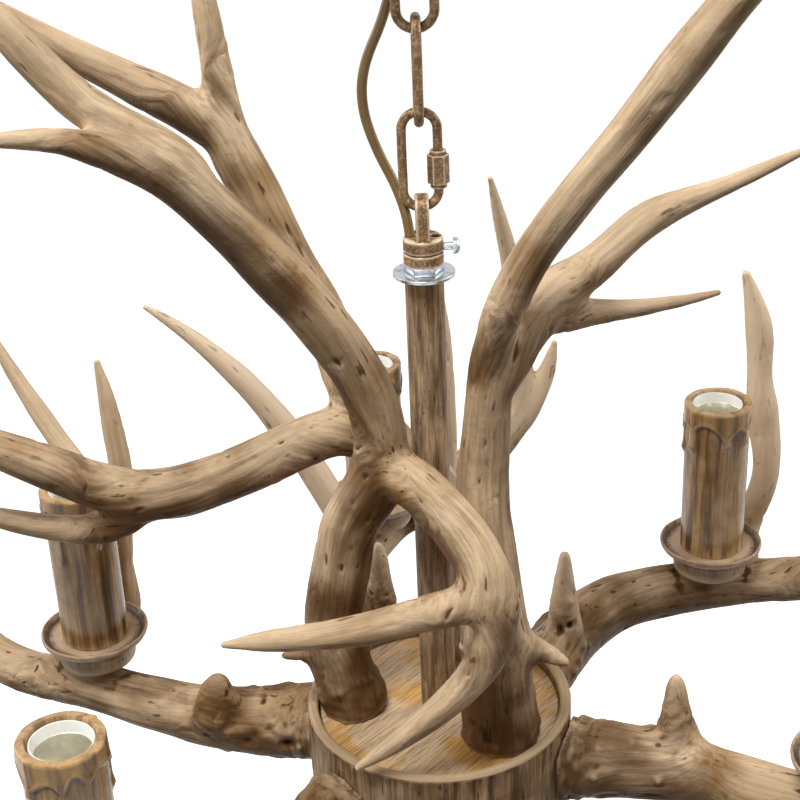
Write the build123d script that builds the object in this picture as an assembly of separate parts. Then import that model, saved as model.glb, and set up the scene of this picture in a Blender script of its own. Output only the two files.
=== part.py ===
from build123d import *
import math
import os

os.makedirs("parts", exist_ok=True)

# Antler chandelier: six lower arm antlers round a wood-grain drum carry the candles, three upper
# antlers stand on the drum's top plate round a stem pipe, and the whole hangs by a chain from a
# ceiling canopy.  Millimetres.  The origin is the middle of the ceiling face, +Z is up, and -Y is
# the front.

# ---- clearances ----
SEAT_GAP = 0.3  # between parts that only rest on or lie beside each other
SLIP = 0.2  # round a screw, stud or cord in its hole, on the radius
SINK = 1.0  # how far a cutting tool runs past the face that it cuts

# ---- ceiling canopy ----
CANOPY_R = 60.0
CANOPY_DEPTH = 24.0
CANOPY_WALL = 1.4
CANOPY_CROWN_R = 22.0  # flat middle that the hanging loop sits on
CROSSBAR_LENGTH = 104.0
CROSSBAR_WIDTH = 16.0
CROSSBAR_THICK = 2.0
BOX_HOLE_SPACING = 70.0  # to the ceiling box
BOX_HOLE_R = 2.2
CANOPY_SCREW_X = 46.0
CANOPY_SCREW_R = 2.0
CANOPY_SCREW_HEAD_R = 4.5
CANOPY_SCREW_HEAD_Z = -20.2  # the ball rests against the bowl's slope
NIPPLE_R = 5.0  # M10 threaded lamp tube
NIPPLE_BORE_R = 3.4
GROMMET_R = 5.5
GROMMET_LIP = 1.5
GROMMET_AT = (-14.0, 13.0)

# ---- hanging loop, chain and quick link ----
LOOP_COLLAR_R = 9.0
LOOP_COLLAR_H = 8.0
LOOP_WIRE_R = 2.6
LOOP_INNER_R = 7.0
LINK_LENGTH = 52.0  # outside
LINK_WIDTH = 22.0
LINK_WIRE_R = 2.3
QUICK_LENGTH = 50.0
QUICK_WIDTH = 21.0
QUICK_WIRE_R = 2.25
QUICK_GAP = 6.0  # the opening in its right leg
QUICK_GAP_DROP = 10.0  # of the opening's middle below the leg's middle
SLEEVE_NUT_AF = 9.0
SLEEVE_NUT_H = 18.0
SLEEVE_NUT_DROP = 4.5  # of the nut's middle below the leg's middle
SLEEVE_NUT_RING_R = 3.9
SLEEVE_NUT_RING_H = 2.0

# ---- loop cap at the top of the stem ----
CAP_R = 9.6
CAP_H = 13.6
CAP_WALL = 2.0
CAP_GROOVE = 0.6
CAP_LOOP_WIDTH = 6.4
CAP_LOOP_THICK = 3.0
CAP_LOOP_INNER_R = 5.6
CAP_LOOP_RISE = 12.0  # from the cap's top to the middle of the arch
ARCH_EASE = 0.8  # the link's foot curves up across the arch's width
CAP_HOLE_X = 5.9
CAP_HOLE_DEPTH = 8.0
CAP_SCREW_R = 1.9
CAP_SCREW_Z = 8.0  # above the cap's foot
CAP_SCREW_HEAD_R = 4.0
CAP_SCREW_HEAD_H = 3.2
CAP_SCREW_STANDOFF = 4.5
CAP_NUT_AF = 17.0
CAP_NUT_H = 4.0
WASHER_R = 15.0
WASHER_H = 1.8

# ---- stem ----
PIPE_R = 9.4
PIPE_WALL = 1.6
PIPE_LENGTH = 250.0

# ---- drum ----
DRUM_R = 71.4
DRUM_HEIGHT = 66.0
RIM_WALL = 6.0
DRUM_WALL = 10.5
PLATE_RECESS = 5.5
PLATE_THICK = 3.0
BOTTOM_WASHER_R = 12.0
BOTTOM_WASHER_H = 1.5
BOTTOM_NUT_AF = 17.0
BOTTOM_NUT_H = 10.0
BOTTOM_NUT_HEX_H = 5.5
BOTTOM_NUT_BORE = 6.0

# ---- arms and candles ----
ARM_COUNT = 6
CANDLE_REACH = 146.0  # from the drum's wall to a candle's axis
ARM_AXIS_Z = -30.0  # the arms' roots below the rim
STUD_R = 4.0
STUD_IN_ARM = 24.0
STUD_NUT_AF = 13.0
STUD_NUT_H = 5.0
CUP_R = 22.5
CUP_FOOT_Z = -14.0  # flat seat cut in the beam, below the rim's plane
DISH_R = 31.0
DISH_Z = 1.0  # underside of the dish
DISH_LIP = 6.0
DISH_WALL = 2.2
CANDLE_R = 19.0
CANDLE_RIM_R = 20.3
CANDLE_RIM_H = 7.0
CANDLE_BORE_R = 15.5
CANDLE_HEIGHT = 98.0
DRIP_COUNT = 7
DRIP_R = 2.6
HOLDER_R = 14.8
HOLDER_BORE_R = 13.8
HOLDER_LENGTH = 48.0
HOLDER_FLOOR = 6.0
SHELL_WALL = 0.5
SHELL_LENGTH = 24.0
SHELL_DOWN = 6.0  # the screw shell's top below the holder's mouth
CONTACT_R = 4.0
CONTACT_H = 3.0

# ---- antlers ----
ANTLER_SIDES = 10
ANTLER_SCREW_R = 2.4
ANTLER_SCREW_HEAD_R = 4.6
ANTLER_SCREW_HEAD_H = 2.6
ANTLER_SCREW_LENGTH = 22.0

# ---- cord ----
CORD_R = 2.4

# ---- heights that follow from the sizes above ----
CANOPY_UNDER = -CANOPY_DEPTH
LOOP_TOP = CANOPY_UNDER - LOOP_COLLAR_H
LOOP_RING_Z = LOOP_TOP - LOOP_INNER_R - LOOP_WIRE_R
UPPER_PIVOT_Z = LOOP_RING_Z - LOOP_INNER_R - LOOP_WIRE_R  # middle of the loop's wire
UPPER_TOP_Z = UPPER_PIVOT_Z + LOOP_WIRE_R + LINK_WIRE_R + SEAT_GAP
UPPER_FOOT_Z = UPPER_TOP_Z - (LINK_LENGTH - 2 * LINK_WIRE_R)
MIDDLE_TOP_Z = UPPER_FOOT_Z + 2 * LINK_WIRE_R + SEAT_GAP
MIDDLE_FOOT_Z = MIDDLE_TOP_Z - (LINK_LENGTH - 2 * LINK_WIRE_R)
QUICK_TOP_Z = MIDDLE_FOOT_Z + LINK_WIRE_R + QUICK_WIRE_R + SEAT_GAP
QUICK_FOOT_Z = QUICK_TOP_Z - (QUICK_LENGTH - 2 * QUICK_WIRE_R)
ARCH_Z = QUICK_FOOT_Z + QUICK_WIRE_R + SEAT_GAP + ARCH_EASE - CAP_LOOP_INNER_R
CAP_TOP_Z = ARCH_Z - CAP_LOOP_RISE
CAP_FOOT_Z = CAP_TOP_Z - CAP_H
CAP_NUT_Z = CAP_FOOT_Z - CAP_NUT_H
WASHER_Z = CAP_NUT_Z - WASHER_H
PLATE_Z = WASHER_Z - PIPE_LENGTH  # top face of the drum's top plate
RIM_Z = PLATE_Z + PLATE_RECESS
DRUM_FOOT_Z = RIM_Z - DRUM_HEIGHT
PLATE_R = DRUM_R - RIM_WALL - SEAT_GAP
DRUM_BORE_R = DRUM_R - DRUM_WALL
CANDLE_RING_R = DRUM_R + CANDLE_REACH
DISH_TOP_Z = DISH_Z + DISH_WALL
CANDLE_TOP_Z = DISH_TOP_Z + SEAT_GAP + CANDLE_HEIGHT
HOLDER_TOP_Z = CANDLE_TOP_Z - 1.5
HOLDER_FOOT_Z = HOLDER_TOP_Z - HOLDER_LENGTH

# Each arm: the direction of its candle, how far the arm and its candle are moved out and up, its
# form, its tine's height, and the brow stub's tip as (reach from the drum, sideways, height).
def arm(azimuth, out, up, form, tine, brow):
    """One arm's settings, by name."""
    return {"azimuth": azimuth, "out": out, "up": up, "form": form, "tine": tine, "brow": brow}


ARMS = [
    arm(38.5, 5.0, 0.0, "bladed", 171.0, (29.0, 10.0, 43.0)),
    arm(98.5, 0.0, 0.0, "swept", 185.0, (45.0, 14.0, 30.0)),
    arm(159.0, -5.0, -4.0, "forked", 163.0, (57.0, 21.0, 6.0)),
    arm(221.0, 5.0, -8.0, "outward", 165.0, (26.0, 24.0, 9.0)),
    arm(279.5, 5.0, -9.0, "outward", 150.0, (28.0, 5.0, 12.0)),
    arm(340.0, 0.0, 0.0, "outward", 175.0, (54.0, 16.0, 27.0)),
]


# ---------------------------------------------------------------------------------------------
# helpers
# ---------------------------------------------------------------------------------------------
def rod(radius, low, high, x=0.0, y=0.0):
    """An upright cylinder between two heights."""
    return Pos(x, y, (low + high) / 2) * Cylinder(radius, high - low)


def tube(radius, bore, low, high):
    """An upright tube between two heights."""
    return rod(radius, low, high) - rod(bore, low - SINK, high + SINK)


def hexagon(across_flats, low, high):
    """An upright hexagonal prism."""
    return Pos(0, 0, low) * extrude(RegularPolygon(across_flats / math.sqrt(3), 6), high - low)


def lathe(points):
    """A solid of revolution round Z from an outline of (radius, height)."""
    return revolve(make_face(Polyline([(r, 0, z) for r, z in points], close=True)), Axis.Z)


def branch(points):
    """One limb of an antler: a smooth loft through sections along a curve.

    points are (x, y, z, radius), from the thick end to the tip."""
    places = [Vector(*p[:3]) for p in points]
    path = Spline(*places)
    steps = [(path.param_at_point(place), point[3]) for place, point in zip(places, points)]
    (before, thick), (end, thin) = steps[-2:]
    steps.insert(-1, ((before + end) / 2, 0.6 * thick + 0.4 * thin))  # keeps the tip slender
    side = Vector(0.3, 1, 0.2)
    sections = []
    for step, radius in steps:
        along = path.tangent_at(step)
        side = (side - along * side.dot(along)).normalized()  # carried along without twist
        plane = Plane(origin=path.position_at(step), x_dir=side, z_dir=along)
        sections.append(plane * RegularPolygon(radius, ANTLER_SIDES))
    return loft(sections)


def antler(limbs):
    """One antler: its limbs fused into a single solid."""
    whole = branch(limbs[0])
    for limb in limbs[1:]:
        whole = whole + branch(limb)
    return whole


def save(shape, name):
    """Writes one piece, or a group of like pieces."""
    shape.label = name
    export_step(shape, f"parts/{name}.step")


def group(shapes):
    """Separate like pieces kept in one file."""
    return Compound(children=[solid for shape in shapes for solid in shape.solids()])


# ---------------------------------------------------------------------------------------------
# ceiling canopy
# ---------------------------------------------------------------------------------------------
def canopy():
    """A spun bowl, open towards the ceiling, with a flat crown."""
    outer = [(0, 0), (CANOPY_R, 0), (CANOPY_R, -3), (CANOPY_R - 4, -8), (CANOPY_R - 18, -17)]
    outer += [(CANOPY_CROWN_R, CANOPY_UNDER), (0, CANOPY_UNDER)]
    wall = CANOPY_WALL
    inner = [(0, SINK), (CANOPY_R - wall, SINK), (CANOPY_R - wall, -3), (CANOPY_R - 5, -7.2)]
    inner += [(CANOPY_R - 18.6, -17 + wall), (CANOPY_CROWN_R, CANOPY_UNDER + wall)]
    inner += [(0, CANOPY_UNDER + wall)]
    bowl = lathe(outer) - lathe(inner)
    bowl -= rod(NIPPLE_R + SLIP, CANOPY_UNDER - SINK, 0)
    bowl -= rod(GROMMET_R - GROMMET_LIP, CANOPY_UNDER - SINK, 0, *GROMMET_AT)
    for x in (-CANOPY_SCREW_X, CANOPY_SCREW_X):
        bowl -= rod(CANOPY_SCREW_R + SLIP, -CANOPY_DEPTH, SINK, x)
    return bowl


def crossbar():
    """The flat bar that is screwed to the ceiling box and carries the canopy."""
    low = -CROSSBAR_THICK
    bar = Pos(0, 0, low / 2) * Box(CROSSBAR_LENGTH, CROSSBAR_WIDTH, CROSSBAR_THICK)
    bar = fillet(bar.edges().filter_by(Axis.Z), CROSSBAR_WIDTH / 2 - 1)
    bar -= rod(NIPPLE_R + SLIP, low - SINK, SINK)
    for side in (-1, 1):
        bar -= rod(BOX_HOLE_R, low - SINK, SINK, side * BOX_HOLE_SPACING / 2)
        bar -= rod(CANOPY_SCREW_R + SLIP, low - SINK, SINK, side * CANOPY_SCREW_X)
    return bar


def canopy_screw(x):
    """A ball-headed screw that draws the canopy up to the crossbar."""
    shank = rod(CANOPY_SCREW_R, CANOPY_SCREW_HEAD_Z, -SEAT_GAP, x)
    return shank + Pos(x, 0, CANOPY_SCREW_HEAD_Z) * Sphere(CANOPY_SCREW_HEAD_R)


def hanging_loop():
    """The collar, ring and threaded tail that the chain hangs from."""
    collar = rod(LOOP_COLLAR_R, LOOP_TOP, CANOPY_UNDER - SEAT_GAP)
    collar = chamfer(collar.edges().group_by(Axis.Z)[0], 1.2)
    tail = rod(NIPPLE_R, LOOP_TOP, -SEAT_GAP) - rod(NIPPLE_BORE_R, LOOP_TOP + 3, SINK)
    ring = Torus(LOOP_INNER_R + LOOP_WIRE_R, LOOP_WIRE_R)
    ring = Pos(0, 0, LOOP_RING_Z) * (Rot(0, 90, 0) * ring)
    return collar + tail + ring


def lock_nut():
    """Holds the loop's tail inside the canopy, against the crown."""
    low = CANOPY_UNDER + CANOPY_WALL + SEAT_GAP
    return hexagon(CAP_NUT_AF, low, low + CAP_NUT_H) - rod(NIPPLE_R + SLIP, low - SINK, 0)


def grommet():
    """The bush that the cord passes through in the canopy's crown."""
    low = CANOPY_UNDER - SEAT_GAP - 2.0
    lip = rod(GROMMET_R, low, CANOPY_UNDER - SEAT_GAP, *GROMMET_AT)
    neck = rod(GROMMET_R - GROMMET_LIP - SLIP, low, CANOPY_UNDER + 5, *GROMMET_AT)
    return lip + neck - rod(CORD_R + SLIP, low - SINK, 0, *GROMMET_AT)


# ---------------------------------------------------------------------------------------------
# chain
# ---------------------------------------------------------------------------------------------
def link_path(length, width, wire_r):
    """The centre line of an oval link in the XZ plane, its foot's arc centred below z = 0."""
    r = width / 2 - wire_r
    straight = length - 2 * wire_r - 2 * r
    right = Line((r, 0, 0), (r, 0, straight))
    top = ThreePointArc((r, 0, straight), (0, 0, straight + r), (-r, 0, straight))
    left = Line((-r, 0, straight), (-r, 0, 0))
    foot = ThreePointArc((-r, 0, 0), (0, 0, -r), (r, 0, 0))
    return Wire([right, top, left, foot]), r


def oval_link(length, width, wire_r, top_z):
    """A welded link in the XZ plane whose upper wire's middle is at top_z."""
    path, r = link_path(length, width, wire_r)
    section = Plane(origin=(r, 0, 0), z_dir=(0, 0, 1)) * Circle(wire_r)
    link = sweep(section, path)
    return Pos(0, 0, top_z - (length - 2 * wire_r) + r) * link


def quick_link():
    """An oval link with an opening in its right leg, which the sleeve nut closes."""
    link = oval_link(QUICK_LENGTH, QUICK_WIDTH, QUICK_WIRE_R, QUICK_TOP_Z)
    x = QUICK_WIDTH / 2 - QUICK_WIRE_R
    return link - Pos(x, 0, leg_middle() - QUICK_GAP_DROP) * Box(6, 8, QUICK_GAP)


def leg_middle():
    """The height of the middle of the quick link's legs."""
    return (QUICK_TOP_Z + QUICK_FOOT_Z) / 2


def sleeve_nut():
    """The long hexagonal nut on the quick link's right leg, with a ring at each end."""
    middle = leg_middle() - SLEEVE_NUT_DROP
    low, high = middle - SLEEVE_NUT_H / 2, middle + SLEEVE_NUT_H / 2
    nut = hexagon(SLEEVE_NUT_AF, low + SLEEVE_NUT_RING_H, high - SLEEVE_NUT_RING_H)
    nut += rod(SLEEVE_NUT_RING_R, low, high)
    nut -= rod(QUICK_WIRE_R + SLIP, low - SINK, high + SINK)
    return Pos(QUICK_WIDTH / 2 - QUICK_WIRE_R, 0, 0) * nut


# ---------------------------------------------------------------------------------------------
# loop cap and stem
# ---------------------------------------------------------------------------------------------
def loop_cap():
    """The threaded cap on the stem with its flat arched loop and two holes in its top."""
    body = rod(CAP_R, CAP_FOOT_Z, CAP_TOP_Z)
    body = chamfer(body.edges().group_by(Axis.Z)[-1], 1.0)
    groove = CAP_FOOT_Z + CAP_H * 0.42
    body -= tube(CAP_R + SINK, CAP_R - CAP_GROOVE, groove, groove + 1.0)
    body -= rod(NIPPLE_R + SLIP, CAP_FOOT_Z - SINK, CAP_FOOT_Z + 5)
    body -= rod(CAP_R - CAP_WALL, CAP_FOOT_Z + 5, CAP_TOP_Z - CAP_WALL)
    for x in (-CAP_HOLE_X, CAP_HOLE_X):
        body -= rod(CORD_R + SLIP, CAP_TOP_Z - CAP_HOLE_DEPTH, CAP_TOP_Z + SINK, x)
    screw_z = CAP_FOOT_Z + CAP_SCREW_Z
    body -= Pos(CAP_R, 0, screw_z) * Rot(0, 90, 0) * Cylinder(CAP_SCREW_R + SLIP, 2 * CAP_WALL + 2)
    outer = CAP_LOOP_INNER_R + CAP_LOOP_THICK
    arch = Rot(0, 90, 0) * Cylinder(outer, CAP_LOOP_WIDTH)
    arch += Pos(0, 0, -CAP_LOOP_RISE / 2) * Box(CAP_LOOP_WIDTH, 2 * outer, CAP_LOOP_RISE)
    arch -= Rot(0, 90, 0) * Cylinder(CAP_LOOP_INNER_R, CAP_LOOP_WIDTH + 2)
    window = Box(CAP_LOOP_WIDTH + 2, 2 * CAP_LOOP_INNER_R, CAP_LOOP_RISE)
    arch -= Pos(0, 0, -CAP_LOOP_RISE / 2) * window
    return body + Pos(0, 0, ARCH_Z) * arch


def cap_screw():
    """The small cross-headed screw in the cap's side."""
    z = CAP_FOOT_Z + CAP_SCREW_Z
    start = CAP_R - CAP_WALL
    end = CAP_R + CAP_SCREW_STANDOFF
    shank = Pos((start + end) / 2, 0, z) * Rot(0, 90, 0) * Cylinder(CAP_SCREW_R, end - start)
    head = Pos(end + CAP_SCREW_HEAD_H / 2, 0, z) * Rot(0, 90, 0)
    head = head * Cylinder(CAP_SCREW_HEAD_R, CAP_SCREW_HEAD_H)
    head = chamfer(head.edges().group_by(Axis.X)[-1], 1.2)
    for width, height in ((4.6, 1.0), (1.0, 4.6)):
        head -= Pos(end + CAP_SCREW_HEAD_H, 0, z) * Box(2.4, width, height)
    return shank + head


def cap_nut():
    """The thin zinc nut under the cap."""
    nut = hexagon(CAP_NUT_AF, CAP_NUT_Z, CAP_FOOT_Z)
    return nut - rod(NIPPLE_R + SLIP, CAP_NUT_Z - SINK, CAP_FOOT_Z + SINK)


def stem_washer():
    """The wide zinc washer on the stem's top."""
    return tube(WASHER_R, NIPPLE_R + SLIP, WASHER_Z, CAP_NUT_Z)


def stem_pipe():
    """The wood-grain tube between the washer and the drum."""
    return tube(PIPE_R, PIPE_R - PIPE_WALL, PLATE_Z, WASHER_Z)


def threaded_rod():
    """The hollow threaded rod that ties the cap, the stem and the drum together."""
    low = DRUM_FOOT_Z - BOTTOM_WASHER_H - BOTTOM_NUT_BORE + SEAT_GAP
    return tube(NIPPLE_R, NIPPLE_BORE_R, low, CAP_FOOT_Z + 4.6)


# ---------------------------------------------------------------------------------------------
# drum
# ---------------------------------------------------------------------------------------------
def drum():
    """The wood-grain ring with a ledge for each plate and a hole for each arm's stud."""
    low_ledge = DRUM_FOOT_Z + PLATE_THICK
    high_ledge = PLATE_Z - PLATE_THICK
    outline = [(DRUM_BORE_R, low_ledge), (DRUM_R - RIM_WALL, low_ledge)]
    outline += [(DRUM_R - RIM_WALL, DRUM_FOOT_Z), (DRUM_R, DRUM_FOOT_Z), (DRUM_R, RIM_Z)]
    outline += [(DRUM_R - RIM_WALL, RIM_Z), (DRUM_R - RIM_WALL, high_ledge)]
    outline += [(DRUM_BORE_R, high_ledge)]
    ring = lathe(outline)
    lips = ring.edges().filter_by(GeomType.CIRCLE).group_by(Axis.Z)[-1]
    ring = chamfer(lips, 1.2)
    for arm in ARMS:
        ring -= radial_rod(arm, STUD_R + SLIP, DRUM_BORE_R - SINK, DRUM_R + SINK)
    return ring


def radial_rod(arm, radius, start, end):
    """A level cylinder pointing out from the drum towards one arm's root."""
    body = Rot(0, 90, 0) * Cylinder(radius, end - start)
    return Rot(0, 0, arm["azimuth"]) * Pos((start + end) / 2, 0, RIM_Z + ARM_AXIS_Z) * body


def top_plate():
    """The recessed plate that the stem and the upper antlers stand on."""
    plate = rod(PLATE_R, PLATE_Z - PLATE_THICK, PLATE_Z)
    plate -= rod(NIPPLE_R + SLIP, PLATE_Z - PLATE_THICK - SINK, PLATE_Z + SINK)
    for x, y in ANTLER_FEET.values():
        for px, py in screw_places(x, y):
            low, high = PLATE_Z - PLATE_THICK - SINK, PLATE_Z + SINK
            plate -= rod(ANTLER_SCREW_R + SLIP, low, high, px, py)
    return plate


def bottom_plate():
    """Closes the drum from below."""
    high = DRUM_FOOT_Z + PLATE_THICK
    return tube(PLATE_R, NIPPLE_R + SLIP, DRUM_FOOT_Z, high)


def bottom_washer():
    return tube(BOTTOM_WASHER_R, NIPPLE_R + SLIP, DRUM_FOOT_Z - BOTTOM_WASHER_H, DRUM_FOOT_Z)


def bottom_nut():
    """The domed nut that closes the threaded rod's lower end."""
    top = DRUM_FOOT_Z - BOTTOM_WASHER_H
    low = top - BOTTOM_NUT_H
    dome = BOTTOM_NUT_H - BOTTOM_NUT_HEX_H
    r = BOTTOM_NUT_AF / 2 - 0.7
    nut = hexagon(BOTTOM_NUT_AF, low + dome, top)
    nut += lathe([(0, low), (0.5 * r, low + 0.12 * dome), (0.86 * r, low + 0.5 * dome),
                  (r, low + dome), (0, low + dome)])
    return nut - rod(NIPPLE_R + SLIP, top - BOTTOM_NUT_BORE, top + SINK)


def arm_stud(arm):
    """The threaded stud between the drum's wall and one arm's root."""
    return radial_rod(arm, STUD_R, DRUM_BORE_R - 8, DRUM_R + STUD_IN_ARM - 1)


def arm_nut(arm):
    """The nut on the stud inside the drum."""
    high = DRUM_BORE_R - 0.6
    nut = hexagon(STUD_NUT_AF, high - STUD_NUT_H, high)
    nut -= rod(STUD_R + SLIP, high - STUD_NUT_H - SINK, high + SINK)
    return Rot(0, 0, arm["azimuth"]) * Pos(0, 0, RIM_Z + ARM_AXIS_Z) * Rot(0, 90, 0) * nut


# ---------------------------------------------------------------------------------------------
# upper antlers, in millimetres from the middle of the top plate's upper face
# ---------------------------------------------------------------------------------------------
ANTLER_FEET = {"left": (-45.5, 2.0), "right": (31.0, -29.0), "rear": (22.0, 41.0)}

LEFT_ANTLER = [
    # stem, then the long beam that curves up to the left and ends in a slender tine
    [(-45.5, 2, 0, 19), (-46.5, 2, 7, 18.4), (-50.5, 1, 22, 17.4), (-54, 0, 44, 16.5),
     (-51, 0, 76, 16), (-46, -2, 102, 15.5), (-36, -7, 130, 15), (-25, -14, 160, 14.3),
     (-29, -17, 196, 12.8), (-48, -24, 236, 12.8), (-72, -32, 272, 13), (-91, -39, 298, 12.2),
     (-108, -46, 317, 10.6), (-130, -54, 332, 8.4), (-151, -60, 340, 6), (-170, -65, 343, 3.9),
     (-187, -70, 344, 1.2)],
    # rear tine of the beam
    [(-84, -40, 298, 7), (-97, -44, 314, 8.5), (-116, -44, 333, 9.4), (-146, -42, 353, 9.3),
     (-172, -38, 382, 7.9), (-193, -34, 402, 5.4), (-211, -30, 422, 1.2)],
    # the fork that arches over to the right and round the front of the stem
    [(-33, -9, 140, 10), (-18, -19, 154, 13), (0, -36, 146, 13), (16, -53, 131, 13.2),
     (25, -66, 113, 12.6), (23, -70, 80, 9.8), (6, -72, 57, 8.1), (-20, -70, 32, 5.7),
     (-46, -66, 9, 1.2)],
    # its tine to the left
    [(24, -62, 116, 9), (20, -67, 110, 10.8), (8, -70, 108, 10), (-19, -74, 104, 8.5),
     (-48, -74, 98, 7.6), (-77, -70, 93, 5.8), (-108, -62, 86, 1.2)],
    # brow spur
    [(-58, -2, 34, 7), (-66, -4, 38, 5.5), (-75, -6, 39, 3.4), (-84, -8, 42, 1.2)],
]

RIGHT_ANTLER = [
    [(31, -29, 0, 21.5), (31, -29, 7, 21.2), (30.5, -27, 26, 20.3), (29.5, -25, 54, 19),
     (28, -22, 82, 17), (25.5, -19, 116, 14.9), (25.5, -19, 155, 12.9), (27, -23, 179, 11.9),
     (31, -31, 227, 9.6),
     (40, -38, 257, 9.4), (58.5, -44, 290, 9.4), (84.5, -50, 325, 9.6), (104.5, -55, 354, 9.8),
     (128.5, -60, 387, 9.3), (149.5, -62, 411, 6.5), (161.5, -62, 427, 1.2)],
    [(28, -26, 186, 8), (32, -25, 204, 10.9), (42, -20, 221, 12.4), (59, -8, 239, 12.8),
     (82, 6, 249, 9.8), (105, 18, 264, 9), (139, 32, 273, 5.8), (174, 44, 282, 3.2),
     (199, 50, 291, 1.2)],
    [(52, -12, 229, 8), (62, -7, 229, 10), (80, 4, 225, 7.3), (106, 14, 222, 4.6),
     (132, 22, 222, 2.8), (150, 28, 223, 1.2)],
    [(37, -27, 54, 10), (46, -29, 54, 8.5), (56, -32, 51, 5.2), (68, -34, 45, 1.2)],
]

REAR_ANTLER = [
    [(22, 41, 0, 17.2), (22.5, 42, 7, 16.8), (24, 46, 24, 16.5), (23, 50, 50, 16.2),
     (16, 52, 79, 15.6),
     (0, 55, 106, 15.2), (-23, 59, 127, 15), (-42, 57, 139, 14.6), (-69, 50, 136, 13.9),
     (-98, 44, 126, 14), (-127, 39, 118, 14.2), (-158, 34, 119, 14), (-188, 26, 136, 12),
     (-219, 16, 158, 10.2), (-244, 6, 179, 6.5), (-259, 0, 196, 1.2)],
    [(-140, 38, 116, 11), (-155, 36, 112, 12), (-183, 30, 101, 8.5), (-207, 24, 108, 7),
     (-226, 20, 116, 5.6), (-246, 14, 132, 1.2)],
    [(-12, 57, 118, 11), (-30, 62, 142, 13.6), (-43, 68, 168, 13), (-52, 74, 198, 12.2),
     (-72, 80, 239, 12.6), (-84, 84, 268, 13), (-96, 88, 294, 12.2), (-100, 92, 335, 7.8),
     (-103, 94, 364, 6.3), (-104, 96, 391, 1.2)],
    [(-86, 86, 278, 9), (-98, 88, 296, 11.5), (-119, 88, 312, 12), (-147, 86, 329, 10),
     (-176, 82, 347, 7.9), (-201, 78, 366, 4.9), (-218, 76, 379, 1.2)],
]


def screw_places(x, y):
    """Two screws under an antler's foot, square to the line from the stem."""
    length = math.hypot(x, y)
    dx, dy = -y / length * 7, x / length * 7
    return [(x - dx, y - dy), (x + dx, y + dy)]


def upper_antler(limbs, foot):
    """An upper antler standing on the top plate, with its screw holes."""
    whole = Pos(0, 0, PLATE_Z) * antler(limbs)
    whole -= Pos(0, 0, PLATE_Z - 25 + SEAT_GAP / 3) * Box(400, 400, 50)
    for px, py in screw_places(*foot):
        top = PLATE_Z - PLATE_THICK + ANTLER_SCREW_LENGTH + SINK
        whole -= rod(ANTLER_SCREW_R + SLIP, PLATE_Z - SINK, top, px, py)
    return whole


def antler_screw(px, py):
    """A screw through the top plate into an antler's foot."""
    under = PLATE_Z - PLATE_THICK
    head = rod(ANTLER_SCREW_HEAD_R, under - ANTLER_SCREW_HEAD_H, under, px, py)
    return head + rod(ANTLER_SCREW_R, under - 1, under + ANTLER_SCREW_LENGTH, px, py)


# ---------------------------------------------------------------------------------------------
# arm antlers: x runs out from the drum's wall along the candle's direction, y is sideways to the
# left of it, z is from the rim's plane
# ---------------------------------------------------------------------------------------------
SWEPT_BEAM = [
    (-6, 4, -30, 22), (14, 12, -31, 20.5), (49, 26, -33, 20), (94, 31, -33, 18),
    (134, 14, -31, 16.5), (163, -11, -27, 15), (184, -45, -18, 14), (191, -80, 0, 13.5),
    (193, -102, 24, 12.4), (194, -108, 62, 10.4), (190, -106, 115, 8.3), (180, -95, 169, 5.3),
    (170, -84, 211, 1.2),
]
SWEPT_PRONG = [(191, -94, 14, 9), (192, -112, 32, 10), (193, -126, 56, 6.5), (191, -133, 84, 1.2)]
STRAIGHT_BEAM = [
    (-6, 0, -28, 23), (14, 5, -28, 21.5), (49, 11, -30, 19), (94, 10, -33, 16.5),
    (134, 6, -33, 15), (168, 5, -32, 14), (202, 7, -28, 13), (234, 2, -10, 11.5),
    (258, -8, 25, 9), (267, -14, 70, 6), (266, -16, 110, 1.2),
]
FORKED_PRONG = [
    (145, -42, 30, 5.5), (150, -45, 46, 6.5), (166, -53, 64, 6.8), (188, -60, 86, 6.6),
    (212, -67, 113, 5.8), (228, -70, 136, 4), (240, -72, 160, 1.2),
]
LONG_TINE = [
    (76, 22, -28, 11), (84, 20, -8, 10.5), (94, 35, 34, 9.6), (108, 68, 94, 8.6),
    (119, 101, 133, 5.6), (130, 139, 163, 1.2),
]
BLADE = [
    (163, -8, -26, 12), (182, 2, -20, 10), (192, 8, -4, 8.5), (197, 3, 20, 8.6), (198.5, 2, 47, 9.1),
    (195.5, 6, 82, 9.7), (194, 8.6, 116, 8), (191, 11, 143, 7), (187, 14, 159, 4.3),
]
FORKED_TINE = [
    (160, -6, -30, 11), (157, -26, -26, 9.5), (148, -41, -6, 8), (149, -43, 14, 7.5),
    (146, -43, 50, 7.2), (142, -43, 100, 6.8), (144, -42, 135, 5),
]


def inner_tine(top):
    """The blade-like tine that rises beside the candle to the height given."""
    share = top / 205.0
    rise = [(162, -4, -32, 11), (160, -26, -22, 11), (152, -43, 4, 10.5), (147, -44, 34, 11.3)]
    blade = [(142, -42, 90, 12), (140, -41, 120, 11.4), (135, -40, 150, 9), (128, -38, 180, 5.6)]
    rise += [(x, y, z * share, r) for x, y, z, r in blade]
    return rise + [(121, -37, top, 1.2)]


def outer_tine(top):
    """The tine beyond the candle on the outward arms."""
    return [(188, 2, -28, 11), (202, -14, -8, 11), (216, -26, 30, 11), (224, -30, 0.5 * top, 9.5),
            (222, -30, 0.8 * top, 5.5), (216, -28, top, 1.2)]


def brow_stub(tip):
    """The short stub near the root, from the beam's top to its tip."""
    x, y, z = tip
    return [(x + 4, y + 4, -26, 13), (x + 2, y + 2, -14, 12), (x, y, 0.45 * z, 6.5), (x, y, z, 2.2)]


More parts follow.
